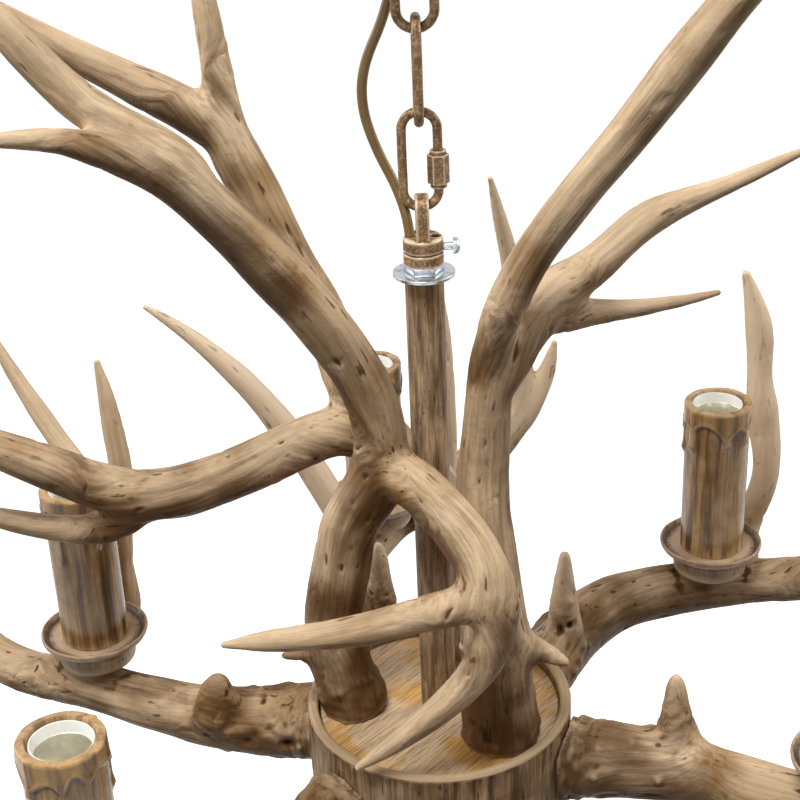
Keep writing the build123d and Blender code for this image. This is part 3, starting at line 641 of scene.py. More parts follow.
@dataclass(frozen=True)
class BrushedFinish(Finish):
    """The hub's plate: gold-brown paint brushed in straight lines, with painted shade in a dark
    ring at its edge.
    """

    gold: Colour = (0.74, 0.42, 0.130)
    tan: Colour = (0.80, 0.58, 0.36)
    dark: Colour = (0.120, 0.056, 0.016)
    turn: float = math.radians(-48.0)
    edge: float = 0.0641
    edge_blur: float = 0.0004

    def dress(self, n: Nodes) -> Surface:
        """Straight brush lines over a patchy gold."""
        place = self.where(n)
        lines = n.noise(n.stretch(place, (0.05, 1.0, 1.0), self.turn), 1150.0, 3.0, 0.6)
        bands = n.noise(n.stretch(place, (0.10, 1.0, 1.0), self.turn), 420.0, 2.0, 0.5)
        patch = n.noise(place, 26.0, 2.0)
        colour = n.mix(n.step(patch, 0.46, 0.62), self.tan, self.gold)
        colour = n.wash(colour, n.step(bands, 0.50, 0.70), 0.34, self.dark)
        colour = n.wash(colour, n.step(lines, 0.50, 0.62), 0.52, self.dark)
        flat = n.vector("MULTIPLY", {0: place, 1: (1.0, 1.0, 0.0)}).outputs[0]
        radius = n.vector("LENGTH", {0: flat}).outputs["Value"]
        # Painted shade: a dark ring at the plate's edge, in the gap by the drum.
        rim = n.step(radius, self.edge - self.edge_blur, self.edge + self.edge_blur)
        return n.wash(colour, rim, 0.9, self.dark), None, lines


@dataclass(frozen=True)
class CandleFinish(Finish):
    """Painted wax look: honey brown with dark upright streaks, and painted shade in its hollows."""

    honey: Colour = (0.47, 0.270, 0.098)
    tan: Colour = (0.66, 0.440, 0.225)
    dark: Colour = (0.080, 0.034, 0.009)

    def dress(self, n: Nodes) -> Surface:
        """Upright streaks, a streaked honey collar, and painted shade in the hollows round the
        drips and collar.
        """
        grain = self.grain_place(n)
        streaks = self.group(n, streak_effect(), Where=grain, Fineness=1.35)
        patches = self.group(n, patch_effect(), Where=grain, Scale=60.0)
        broad, fine = streaks.outputs["Broad"], streaks.outputs["Fine"]
        collar, cavity = n.stored("collar"), n.stored("cavity")
        colour = n.mix(patches.outputs["Cloud"], self.tan, self.honey)
        colour = n.wash(colour, broad, 0.90, self.dark)
        colour = n.wash(colour, fine, 0.45, self.dark)
        rim = n.wash(self.honey, patches.outputs["Speck"], 0.35, self.tan)
        rim = n.wash(rim, broad, 0.78, self.dark)
        colour = n.wash(colour, collar, 0.9, rim)
        # Painted shade: dark in the hollows; a little tan on the ridges.
        colour = n.wash(colour, n.step(cavity, 0.06, 0.6), 0.9, self.dark)
        colour = n.wash(colour, n.step(cavity, -0.2, -1.0), 0.22, self.tan)
        return colour, None, n.math("MULTIPLY", fine, -1.0)


@dataclass(frozen=True)
class PlainFinish(Finish):
    """A moulded or drawn material with a slight mottle."""

    tint: Colour = (0.8, 0.8, 0.8)
    shade: Colour = (0.7, 0.7, 0.7)
    grain: float = 300.0

    def dress(self, n: Nodes) -> Surface:
        """A mottled tint and a fine skin."""
        place = self.where(n)
        mottle = n.noise(place, self.grain, 3.0)
        colour = n.mix(n.step(mottle, 0.35, 0.65), self.tint, self.shade)
        return colour, None, n.noise(place, self.grain * 5, 2.0)


class Look(Enum):
    """The finishes of this chandelier, each for one material slot."""

    antler_resin = AntlerFinish("antler_resin", roughness=0.5, specular=0.06, bump=0.35)
    hub_resin = WoodGrainFinish("hub_resin", roughness=0.55, specular=0.08, bump=0.6,
                                light=(0.60, 0.43, 0.265), base=(0.34, 0.205, 0.100),
                                darkness=0.62, fineness=1.5, depth=0.0005)
    woodgrain_pipe = WoodGrainFinish("woodgrain_pipe", roughness=0.42, specular=0.12, bump=0.4,
                                     light=(0.62, 0.44, 0.27), base=(0.44, 0.285, 0.155),
                                     darkness=0.60, fineness=3.2)
    antique_gold = AntiqueFinish("antique_gold", roughness=0.45, metallic=0.30, specular=0.3,
                                 bump=0.35, depth=0.0002)
    zinc = ZincFinish("zinc", roughness=0.25, metallic=1.0, bump=0.05, depth=0.0001)
    brushed_gold = BrushedFinish("brushed_gold", roughness=0.45, metallic=0.15, bump=0.5,
                                 depth=0.0003)
    dish_metal = WoodGrainFinish("dish_metal", roughness=0.42, specular=0.30, bump=0.3,
                                 light=(0.62, 0.45, 0.29), base=(0.38, 0.245, 0.140),
                                 darkness=0.50, fineness=1.6)
    candle_resin = CandleFinish("candle_resin", roughness=0.26, specular=0.45, bump=0.3)
    holder_white = PlainFinish("holder_white", roughness=0.30, tint=(0.95, 0.94, 0.89),
                               shade=(0.92, 0.91, 0.85), bump=0.03, depth=0.0001)
    brass_shell = PlainFinish("brass_shell", roughness=0.28, metallic=0.85,
                              tint=(0.90, 0.88, 0.80), shade=(0.82, 0.78, 0.66), bump=0.05,
                              depth=0.0001)
    black_bush = PlainFinish("black_bush", roughness=0.55, tint=(0.020, 0.018, 0.016),
                             shade=(0.030, 0.027, 0.024), bump=0.1, depth=0.0001)
    cord_jacket = PlainFinish("cord_jacket", roughness=0.38, tint=(0.230, 0.140, 0.036),
                              shade=(0.185, 0.108, 0.026), grain=90.0, bump=0.06,
                              depth=0.0001)


def coat(obj: Piece, look: Look) -> None:
    """Gives a piece the material of a finish, and no other."""
    obj.data.materials.clear()
    obj.data.materials.append(look.value.material())


def finish_piece(obj: Piece, look: Look, body: str, *nodes: str) -> None:
    """Gives a piece its finish, its body and the CAD nodes that it stands for.

    Args:
        obj: The finished mesh.
        look: Its finish, which is also its material slot.
        body: The CAD body that it rides on.
        nodes: The CAD nodes that it replaces.
    """
    coat(obj, look)
    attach(obj, body)
    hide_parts(*nodes)
    LOG.info("%s: %d faces, %s, on %s", obj.name, len(obj.data.polygons), look.name, body)


def hollows(obj: Piece, near: int, far: int, unit: float, lift: Array | float = 0.0) -> None:
    """Stores how deep each vertex lies in its surroundings.

    Args:
        obj: The piece.
        near: Rounds of averaging for small hollows.
        far: Rounds of averaging for wide ones.
        unit: The depth that counts as 1, in metres.
        lift: Added to the result.
    """
    around, points, out = Neighbours(obj), points_of(obj), normals_of(obj)
    close = ((around.soften(points, near) - points) * out).sum(axis=1)
    wide = ((around.soften(points, far) - points) * out).sum(axis=1)
    store(obj, "cavity", (close + 0.5 * wide) / unit + lift)


# ---- antlers -----------------------------------------------------
@dataclass
class GrainField:
    """Coordinates that follow an antler's limbs from its root: across, across, along."""

    points: Array
    around: Neighbours
    root: Array
    step: float = 0.007
    smallest: int = 6
    radius_rounds: int = 20
    grain_rounds: int = 6
    reach: Array = field(init=False)
    radius: Array = field(init=False)

    def distances(self) -> Array:
        """Walking distance of each vertex from the root."""
        length = np.linalg.norm(self.points[self.around.here] - self.points[self.around.there],
                                axis=1)
        order = np.argsort(self.around.here, kind="stable")
        there, length = self.around.there[order].tolist(), length[order].tolist()
        first = np.concatenate([[0], np.cumsum(self.around.degree)]).tolist()
        best = [math.inf] * self.around.count
        queue = [(0.0, int(i)) for i in np.flatnonzero(self.root)]
        for _, i in queue:
            best[i] = 0.0
        while queue:
            so_far, i = heapq.heappop(queue)
            if so_far > best[i]:
                continue
            for k in range(first[i], first[i + 1]):
                nearer = so_far + length[k]
                if nearer < best[there[k]]:
                    best[there[k]] = nearer
                    heapq.heappush(queue, (nearer, there[k]))
        found = np.array(best)
        return np.where(np.isfinite(found), found, 0.0)

    def slices(self, band: Array) -> Array:
        """Numbers the connected groups of vertices within each band of distance."""
        label = np.arange(self.around.count)
        same = band[self.around.here] == band[self.around.there]
        here, there = self.around.here[same], self.around.there[same]
        while True:
            lowest = label.copy()
            np.minimum.at(lowest, here, label[there])
            lowest = lowest[lowest]
            if (lowest == label).all():
                return np.unique(label, return_inverse=True)[1]
            label = lowest

    def solve(self) -> Array:
        """Works out the coordinates, and each vertex's reach and radius.

        Returns:
            A row (across, across, along) for each vertex, in metres.
        """
        self.reach = self.distances()
        band = (self.reach / self.step).astype(int)
        group = self.slices(band)
        total = group.max() + 1
        size = np.bincount(group, minlength=total)
        centre = np.stack([np.bincount(group, self.points[:, k], total) / size
                           for k in range(3)], axis=1)
        level = np.zeros(total, dtype=int)
        level[group] = band
        parent = self.parents(group, level, total)
        known = parent >= 0
        for _ in range(2):
            pulled = centre.copy()
            pulled[known] = 0.5 * centre[known] + 0.5 * centre[parent[known]]
            centre = np.where(size[:, None] > self.smallest, 0.5 * centre + 0.5 * pulled, pulled)
        side, across, way = (np.zeros((total, 3)) for _ in range(3))
        offset, along = np.zeros((total, 2)), np.zeros(total)
        for g in np.argsort(level, kind="stable"):
            p = parent[g]
            if p < 0:
                way[g] = (0.0, 0.0, 1.0)
                side[g], across[g] = (1.0, 0.0, 0.0), (0.0, 1.0, 0.0)
                continue
            move = centre[g] - centre[p]
            span = np.linalg.norm(move)
            way[g] = move / span if span > 1e-6 else way[p]
            way[g] = way[g] * 0.5 + way[p] * 0.5
            way[g] /= max(np.linalg.norm(way[g]), 1e-6)
            side[g] = side[p] - way[g] * (side[p] @ way[g])
            side[g] /= max(np.linalg.norm(side[g]), 1e-6)
            across[g] = np.cross(way[g], side[g])
            along[g] = along[p] + move @ way[g]
            offset[g] = offset[p] + (move @ side[g], move @ across[g])
        local = self.points - centre[group]
        ahead = (local * way[group]).sum(1)
        found = np.stack([(local * side[group]).sum(1) + offset[group, 0],
                          (local * across[group]).sum(1) + offset[group, 1],
                          ahead + along[group]], axis=1)
        flat = local - way[group] * ahead[:, None]
        self.radius = self.around.soften(np.linalg.norm(flat, axis=1), self.radius_rounds)
        return self.around.soften(found, self.grain_rounds)

    def parents(self, group: Array, level: Array, total: int) -> Array:
        """For each group, the group nearer to the root that it touches most."""
        here, there = group[self.around.here], group[self.around.there]
        inward = level[there] == level[here] - 1
        pair, count = np.unique(np.stack([here[inward], there[inward]], axis=1), axis=0,
                                return_counts=True)
        parent, most = np.full(total, -1), np.zeros(total)
        for (child, root), touching in zip(pair, count):
            if touching > most[child]:
                parent[child], most[child] = root, touching
        return parent


@dataclass
class Antler:
    """One antler: the CAD form with soft crotches, grooves, burrs, stain and painted shade."""

    node: str
    seed: float
    standing: bool
    pale: float = 0.0
    voxel: float = 0.00120
    flat_size: float = 0.0105
    valley_size: float = 0.0055
    valley_depth: float = 0.0012
    fillet_size: float = 0.0080
    hollow_sizes: tuple[float, float] = (0.0026, 0.0065)
    hollow_depth: float = 0.0006
    grain_shift: float = 0.37
    flute_size: float = 0.0060
    flute_height: float = 0.00050
    swell_size: float = 0.030
    swell_height: float = 0.00080
    pock_size: float = 0.0040
    pock_depth: float = 0.0022
    root_size: float = 0.0110
    root_height: float = 0.0013
    knob_reach: float = 0.034
    knob_sizes: tuple[float, float] = (0.0022, 0.0068)
    knob_height: float = 0.0026
    knob_rises: tuple[float, ...] = (1.0, 0.8, -1.3)
    knobs: int = 30
    seat_radius: float = 0.0228

    def build(self) -> None:
        """Models and dresses the antler."""
        obj = merged_copy(self.node, self.node + "_cast")
        apply_modifier(obj, "REMESH", mode="VOXEL", voxel_size=self.voxel)
        around = Neighbours(obj)
        start = points_of(obj)
        points = self.rounded(obj, start, around)
        points = self.filleted(obj, points, around)
        limb = GrainField(points, around, self.root_of(start))
        grain = limb.solve()
        grain[:, 0] += self.seed * self.grain_shift
        relief = self.relief(points, grain, limb)
        free = self.free_of_others(start)
        set_points(obj, points)
        points = points + normals_of(obj) * (relief * free)[:, None]
        points = np.where(free[:, None] > 0, points, start)
        points = self.inside_box(points)
        set_points(obj, points)
        store(obj, "grain_co", grain)
        store(obj, "stain_and_shade", self.stain_and_shade(points, limb, normals_of(obj)))
        near, far = (self.rounds(size) for size in self.hollow_sizes)
        # The cavity also carries the painted shadow round the cup's seat.
        hollows(obj, near, far, self.hollow_depth, self.seat_shadow(points))
        pick(obj)
        bpy.ops.object.shade_smooth()
        finish_piece(obj, Look.antler_resin, "fixture", self.node)

    @property
    def dish(self) -> str:
        """The drip dish that stands on this arm."""
        return "drip_dish_" + self.node[-1]

    def root_of(self, points: Array) -> Array:
        """Which vertices lie on the foot, or on the face towards the drum."""
        if self.standing:
            return points[:, 2] < points[:, 2].min() + 0.004
        out = off_axis(points)
        return out < out.min() + 0.005

    def free_of_others(self, points: Array) -> Array:
        """0 on the faces that meet other parts, rising to 1 a little away from them."""
        if self.standing:
            return ramp(points[:, 2] - points[:, 2].min(), 0.005, 0.0012)
        drum = ramp(off_axis(points) - high("drum", 0), 0.004, 0.0018)
        below = ramp(low(self.dish) - 0.0012 - points[:, 2], 0.004)
        beside = ramp(self.from_dish(points), 0.004, self.seat_radius + 0.001)
        return drum * np.maximum(below, beside)

    def from_dish(self, points: Array) -> Array:
        """Distance of each point from the axis of the arm's drip dish."""
        centre = middle(self.dish)
        return off_axis(points, centre.x, centre.y)

    def rounds(self, reach: float) -> int:
        """How many rounds of averaging soften details up to a given size."""
        return max(2, round((reach / self.voxel) ** 2))

    def rounded(self, obj: Piece, start: Array, around: Neighbours) -> Array:
        """Takes the flats out of the form and keeps its thickness."""
        rounds = self.rounds(self.flat_size)
        soft = around.soften(start, rounds)
        set_points(obj, soft)
        out = normals_of(obj)
        lost = ((start - soft) * out).sum(axis=1)
        return soft + out * around.soften(lost, 2 * rounds)[:, None]

    def filleted(self, obj: Piece, points: Array, around: Neighbours) -> Array:
        """Fills the sharp valleys where limbs meet."""
        for _ in range(3):
            wide = around.soften(points, self.rounds(self.valley_size))
            set_points(obj, points)
            valley = ((wide - points) * normals_of(obj)).sum(axis=1)
            weight = around.soften(ramp(valley, self.valley_depth), 6)
            points = around.soften(points, self.rounds(self.fillet_size), 0.5 * weight)
        return points

    def relief(self, points: Array, grain: Array, limb: GrainField) -> Array:
        """Height of the surface's own unevenness, in metres."""
        thick = np.clip(limb.radius / 0.012, 0.15, 1.2)
        flute = noise_at(grain * (1, 1, 0.10), self.flute_size, 2, self.seed)
        swell = noise_at(points, self.swell_size, 1, self.seed + 3)
        pock = noise_at(grain * (1, 1, 0.4), self.pock_size, 1, self.seed + 9)
        height = (flute * self.flute_height + swell * self.swell_height) * thick
        height -= np.clip(pock - 0.42, 0, 1) * self.pock_depth * thick
        near = np.clip(1.25 - limb.reach / self.knob_reach, 0, 1)
        height += self.burr(points, limb) * (0.6 if self.standing else 1.0)
        root = noise_at(points, self.root_size, 2, self.seed + 5)
        return height + near * root * self.root_height

    def burr(self, points: Array, limb: GrainField) -> Array:
        """Knobs and pits gathered round the root."""
        chance = np.random.default_rng(int(self.seed * 10) + 7)
        near = np.flatnonzero(limb.reach < self.knob_reach * 1.6)
        height = np.zeros(len(points))
        for centre in points[chance.choice(near, self.knobs)]:
            size = chance.uniform(*self.knob_sizes)
            rise = chance.choice(self.knob_rises) * chance.uniform(0.4, 1.0) * self.knob_height
            gap = ((points[near] - centre) ** 2).sum(axis=1)
            height[near] += rise * np.exp(-gap / (2 * (size * 0.55) ** 2))
        return height

    def stain_and_shade(self, points: Array, limb: GrainField, out: Array) -> Array:
        """How strongly a place is stained or shaded: darker towards the root, painted shade on the
        undersides, below 0 on pale tines.
        """
        thick = ramp(limb.radius, 0.010, 0.003)
        near = np.clip(1 - limb.reach / 0.10, 0, 1)
        # Painted shade: darker where the surface faces down.
        below = np.clip(0.35 - 0.80 * out[:, 2], 0, 1)
        cloud = np.clip(0.42 + 1.5 * noise_at(points, 0.045, 2, self.seed + 1), 0, 1)
        stain_and_shade = 0.04 + 0.50 * thick * cloud + 0.50 * near + 0.58 * below * thick
        if not self.standing:
            rise = ramp(points[:, 2] - low(self.dish), 0.040)
            stain_and_shade = stain_and_shade * (1 - (0.4 + self.pale) * rise) - self.pale * rise
        return np.clip(stain_and_shade, -1, 1)

    def seat_shadow(self, points: Array) -> Array:
        """Painted shadow round the seat of the candle's cup, under the drip dish, on the arms."""
        if self.standing:
            return np.zeros(len(points))
        off = self.from_dish(points) - self.seat_radius
        drop = points[:, 2] - low(self.dish)
        patch = 0.6 + 0.8 * noise_at(points, 0.008, 2, self.seed)
        return 2.0 * patch * np.exp(-(off / 0.0030) ** 2 - (drop / 0.011) ** 2)

    def inside_box(self, points: Array) -> Array:
        """Holds the surface within a hair of the CAD node's own box."""
        lowest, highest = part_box(self.node)
        return np.clip(points, np.array(lowest) - 0.0005, np.array(highest) + 0.0015)


# ---- candles -----------------------------------------------------
@dataclass
class Candle:
    """A drip dish, a candle sleeve with wax drips, and the lamp holder inside it."""

    sleeve_radius: float = 0.0190
    bore: float = 0.0155
    segments: int = 168
    rows: int = 96
    seed: int = 3
    drips: int = 7
    turn_between: float = 67.0
    drip_widths: tuple[float, float] = (0.065, 0.125)
    drip_lengths: tuple[float, ...] = (0.017, 0.024, 0.032, 0.042)
    drip_heights: tuple[float, ...] = (0.0011, 0.0014, 0.0021)
    collar_depth: float = 0.0098
    collar_wave: float = 0.0022

    def build(self) -> None:
        """Models one of each and places the copies."""
        patterns = [(self.sleeve(), "candle_sleeve", "wax", Look.candle_resin),
                    (self.dish(), "drip_dish", "turned", Look.dish_metal),
                    (self.holder(), "lamp_holder", "moulded", Look.holder_white)]
        for pattern, part, label, look in patterns:
            for number in range(1, 7):
                node = f"{part}_{number}"
                centre = middle(node)
                turn = Matrix.Rotation(math.radians(self.turn_between * number), 4, "Z")
                place = Matrix.Translation((centre.x, centre.y, low(node))) @ turn
                body = node if part == "candle_sleeve" else "fixture"
                finish_piece(placed(pattern, f"{node}_{label}", place), look, body, node)
            discard(pattern)

    def sleeve(self) -> Piece:
        """The sleeve, standing on the origin, with a waxy collar and drips."""
        height = high("candle_sleeve_1") - low("candle_sleeve_1")
        wall = [(self.sleeve_radius, height * k / self.rows) for k in range(self.rows + 1)]
        outline = [(self.bore, 0.0), *wall, (self.sleeve_radius - 0.0012, height),
                   (self.bore + 0.0006, height), (self.bore, height - 0.0008)]
        obj = turned("candle_pattern", outline, self.segments)
        points = points_of(obj)
        radius, angle = off_axis(points), np.arctan2(points[:, 1], points[:, 0])
        outer = radius > self.bore + 0.0020
        down = height - points[:, 2]
        swell, collar = self.wax(angle, down)
        top = np.clip(1 - down / 0.0016, 0, 1)
        grow = 1 + np.where(outer, swell, 0.0) * (1 - 0.55 * top**2) / radius
        points[:, :2] *= grow[:, None]
        ring = np.stack([np.cos(angle), np.sin(angle), 0 * angle], axis=1) * 0.02
        wave = noise_at(ring, 0.012, 1, self.seed)
        points[:, 2] -= np.where(outer, top * (0.0006 + 0.0006 * wave), 0.0)
        set_points(obj, points)
        store(obj, "grain_co", points)
        store(obj, "collar", np.where(outer, collar, 0.0))
        hollows(obj, 2, 8, 0.00030)
        smooth_shade(obj, 50.0)
        return obj

    def wax(self, angle: Array, down: Array) -> tuple[Array, Array]:
        """The wax's thickness and how much of the collar's colour shows.

        Args:
            angle: Angle of each vertex round the candle.
            down: Depth of each vertex below the rim.

        Returns:
            Thickness in metres, and a share from 0 to 1.
        """
        chance = np.random.default_rng(self.seed * 5 + 2)
        edge = self.collar_depth + self.collar_wave * np.sin(3 * angle + self.seed)
        swell = np.zeros_like(angle)
        for k in range(self.drips):
            centre = 2 * math.pi * (k + chance.uniform(-0.25, 0.25)) / self.drips
            width = chance.uniform(*self.drip_widths)
            length = chance.choice(self.drip_lengths) * chance.uniform(0.85, 1.15)
            proud = chance.choice(self.drip_heights)
            off = np.abs((angle - centre + math.pi) % (2 * math.pi) - math.pi)
            edge = edge + 0.0065 * bell(off, 2.2 * width)
            run = bell(off, width) * ramp(length - down, 0.0035) ** 0.5
            bead = bell(off, width * 1.25) * bell(down - length + 0.003, 0.0032)
            swell = np.maximum(swell, proud * (run + 0.8 * bead))
        collar = ramp(edge - down, 0.0016)
        lip = bell(down - edge + 0.0012, 0.0016)
        swell = np.maximum(swell, 0.0011 * collar**0.5 + 0.0007 * lip)
        return swell, ramp(edge + 0.001 - down, 0.004)

    def dish(self) -> Piece:
        """The dish and its cup, with a rolled lip, standing on the origin."""
        top = high("drip_dish_1") - low("drip_dish_1")
        outline = [(0.0052, 0.0), (0.0200, 0.0), (0.0218, 0.0012), (0.0225, 0.0035),
                   (0.0225, 0.0118), (0.0231, 0.0138), (0.0252, 0.0152), (0.0285, 0.0158),
                   (0.0302, 0.0168), (0.0309, 0.0186), (0.0310, top - 0.0008),
                   (0.0304, top - 0.0001), (0.0296, top - 0.0002), (0.0291, top - 0.0012),
                   (0.0287, 0.0186), (0.0275, 0.0176), (0.0255, 0.0173), (0.0052, 0.0172)]
        obj = turned("dish_pattern", outline, 96)
        apply_modifier(obj, "SUBSURF", levels=1, render_levels=1)
        points = points_of(obj)
        wobble = noise_at(points, 0.012, 2, 1.0)
        free = ramp(points[:, 2], 0.004, 0.004) * ramp(off_axis(points), 0.004, 0.0235)
        points[:, 2] += wobble * 0.00035 * free
        set_points(obj, points)
        store(obj, "grain_co", points * (1, 1, 3))
        hollows(obj, 3, 10, 0.0004)
        smooth_shade(obj, 45.0)
        return obj

    def holder(self) -> Piece:
        """The white lamp holder with a rolled mouth, standing on the origin."""
        tall = high("lamp_holder_1") - low("lamp_holder_1")
        outline = [(0.0010, 0.0), (0.0140, 0.0), (0.0148, 0.0008), (0.0148, tall - 0.0006),
                   (0.0145, tall), (0.0141, tall), (0.0138, tall - 0.0005), (0.0138, 0.0062),
                   (0.0132, 0.0060), (0.0010, 0.0060)]
        obj = turned("holder_pattern", outline, 72)
        smooth_shade(obj, 40.0)
        return obj


# ---- chain, cap and stem -----------------------------------------
@dataclass
class Chain:
    """The two oval links and the quick link, as bent round wire."""

    steps: int = 26
    sides: int = 20
    wear_size: float = 0.0030
    wear_height: float = 0.00010

    def build(self) -> None:
        """Models the links in their places."""
        for node, edgewise in (("upper_link", False), ("middle_link", True), ("quick_link", False)):
            self.link(node, edgewise)
        cast("quick_link_nut", "quick_link_nut", 0.00022)
        refined("hanging_loop", Look.antique_gold, "canopy", 0.0004)

    def link(self, node: str, edgewise: bool) -> None:
        """One link: a ring swept up a leg, over the top, down and round the foot."""
        lowest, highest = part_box(node)
        wide = (highest[1] - lowest[1]) if edgewise else (highest[0] - lowest[0])
        wire = ((highest[0] - lowest[0]) if edgewise else (highest[1] - lowest[1])) / 2
        arc = wide / 2 - wire
        top, foot = highest[2] - wire - arc, lowest[2] + wire + arc
        deselect()
        bpy.ops.mesh.primitive_circle_add(vertices=self.sides, radius=wire,
                                          location=(arc, 0, foot))
        obj = bpy.context.object
        obj.name = obj.data.name = node + "_bent"
        bpy.ops.object.mode_set(mode="EDIT")
        bpy.ops.mesh.select_all(action="SELECT")
        for centre, rise in ((top, top - foot), (foot, foot - top)):
            bpy.ops.mesh.extrude_edges_move(TRANSFORM_OT_translate={"value": (0, 0, rise)})
            bpy.ops.mesh.spin(steps=self.steps, angle=math.pi, center=(0, 0, centre),
                              axis=(0, 1, 0))
        close_up(obj, 1e-5)
        if edgewise:
            obj.data.transform(Matrix.Rotation(math.pi / 2, 4, "Z"))
        apply_modifier(obj, "SUBSURF", levels=1, render_levels=1)
        points = points_of(obj)
        worn = noise_at(points, self.wear_size, 2, 2.0)
        out = normals_of(obj)
        set_points(obj, points + out * (worn * self.wear_height)[:, None])
        # Pale worn specks, and painted light: paler on the wire's upper side, darker on its
        # underside.
        store(obj, "cavity", worn * -0.6 - 0.25 * out[:, 2])
        smooth_shade(obj, 60.0)
        finish_piece(obj, Look.antique_gold, node, node)


def refined(node: str, look: Look, body: str, edge: float, angle: float = 32.0,
            name: str = "") -> None:
    """A copy of a CAD node with softened edges and a finish.

    Args:
        node: The CAD node.
        look: Its finish.
        body: The CAD body that it rides on.
        edge: Width of the softened edges, in metres.
        angle: Edges sharper than this many degrees are softened.
        name: The piece's name, where it isn't the node's name and "made".
    """
    obj = merged_copy(node, name or node + "_made")
    apply_modifier(obj, "WELD", merge_threshold=1e-5)
    apply_modifier(obj, "BEVEL", width=edge, segments=2, limit_method="ANGLE",
                   angle_limit=math.radians(angle), harden_normals=False)
    points = points_of(obj)
    store(obj, "grain_co", points - np.array(middle(node)))
    store(obj, "cavity", np.zeros(len(points)))
    smooth_shade(obj, 38.0)
    finish_piece(obj, look, body, node)


def cast(node: str, body: str, voxel: float) -> None:
    """A copy of a CAD node with the soft edges and the worn gold of painted hardware.

    Args:
        node: The CAD node.
        body: The CAD body that it rides on.
        voxel: Size of the new mesh's cells, in metres.
    """
    obj = merged_copy(node, node + "_cast")
    apply_modifier(obj, "REMESH", mode="VOXEL", voxel_size=voxel)
    around, points = Neighbours(obj), points_of(obj)
    points = around.soften(points, 6)
    set_points(obj, points)
    points = points + normals_of(obj) * (noise_at(points, 0.0022, 2, 3.0) * 0.00006)[:, None]
    set_points(obj, points)
    store(obj, "grain_co", points - np.array(middle(node)))
    hollows(obj, 10, 40, 0.00016)
    pick(obj)
    bpy.ops.object.shade_smooth()
    finish_piece(obj, Look.antique_gold, body, node)


@dataclass
class Stem:
    """The loop cap, its screw, nut and washer, and the pipe."""

    pipe_radius: float = 0.0094
    pipe_wall: float = 0.0016

    def build(self) -> None:
        """Models the stem from the cap down."""
        cast("loop_cap", "fixture", 0.00028)
        for node, edge in (("cap_screw", 0.0002), ("cap_nut", 0.0003), ("stem_washer", 0.0003)):
            refined(node, Look.zinc, "fixture", edge)
        self.pipe()

    def pipe(self) -> None:
        """The pipe. Its grain is painted on."""
        foot, top = low("stem_pipe"), high("stem_pipe")
        bore = self.pipe_radius - self.pipe_wall
        outline = [(self.pipe_radius, foot), (self.pipe_radius, top), (bore, top), (bore, foot)]
        obj = turned("stem_pipe_grained", outline, 96)
        points = points_of(obj)
        store(obj, "grain_co", points)
        store(obj, "cavity", np.zeros(len(points)))
        smooth_shade(obj, 40.0)
        finish_piece(obj, Look.woodgrain_pipe, "fixture", "stem_pipe")


# ---- drum --------------------------------------------------------
@dataclass
class Drum:
    """The grained drum with its smooth rounded rim, and the plates that close it."""

    radius: float = 0.0714
    wall: float = 0.0060
    bore: float = 0.0609
    rounding: float = 0.0022
    groove_size: float = 0.0034
    groove_height: float = 0.00065
    bark_size: float = 0.016
    bark_height: float = 0.0004
    segments: int = 360
    rows: int = 40

    def build(self) -> None:
        """Models the drum and dresses its plates."""
        self.shell()
        for node in ("top_plate", "bottom_plate"):
            refined(node, Look.brushed_gold, "fixture", 0.0002, name=node + "_brushed")
        refined("bottom_nut", Look.antique_gold, "fixture", 0.0002)

    def outline(self, foot: float, top: float, ledge: float, floor: float) -> list:
        """The ring's section, with a rounded rim."""
        inner, edge = self.radius - self.wall, self.rounding
        side = [(self.radius, foot + edge + (top - foot - 2 * edge) * k / self.rows)
                for k in range(self.rows + 1)]
        turns = [math.pi / 2 * k / 6 for k in range(1, 7)]
        lip = [(self.radius - edge * (1 - math.cos(t)), top - edge * (1 - math.sin(t)))
               for t in turns]
        lip += [(inner + edge * (1 - math.sin(t)), top - edge * (1 - math.cos(t)))
                for t in turns]
        return ([(inner, foot), (self.radius - edge, foot)] + side + lip
                + [(inner, ledge), (self.bore, ledge), (self.bore, floor), (inner, floor)])

    def shell(self) -> None:
        """The ring, with bark-like upright grooves and a smooth rim."""
        foot, top = low("drum"), high("drum")
        ledge, inner = low("top_plate"), self.radius - self.wall
        outline = self.outline(foot, top, ledge, high("bottom_plate"))
        obj = turned("drum_grained", outline, self.segments)
        points, out = points_of(obj), normals_of(obj)
        radius = off_axis(points)
        groove = noise_at(points * (1, 1, 0.10), self.groove_size, 3, 4.0)
        broad = noise_at(points * (1, 1, 0.25), self.bark_size, 2, 6.0)
        side = ramp(radius - inner, 0.001, 0.0045)
        side *= ramp(top - 0.0012 - points[:, 2], 0.002)
        height = side * (-0.0003 + groove * self.groove_height + broad * self.bark_height)
        set_points(obj, points + out * height[:, None])
        rim = ramp(points[:, 2] - top + 0.0026, 0.001)
        angle = np.arctan2(points[:, 1], points[:, 0])
        around = np.stack([radius, points[:, 2], angle * self.radius], axis=1)
        store(obj, "grain_co", np.where(rim[:, None] > 0.5, around, points))
        hollows(obj, 2, 8, 0.0005, -0.75 * rim)
        smooth_shade(obj, 50.0)
        finish_piece(obj, Look.hub_resin, "fixture", "drum")


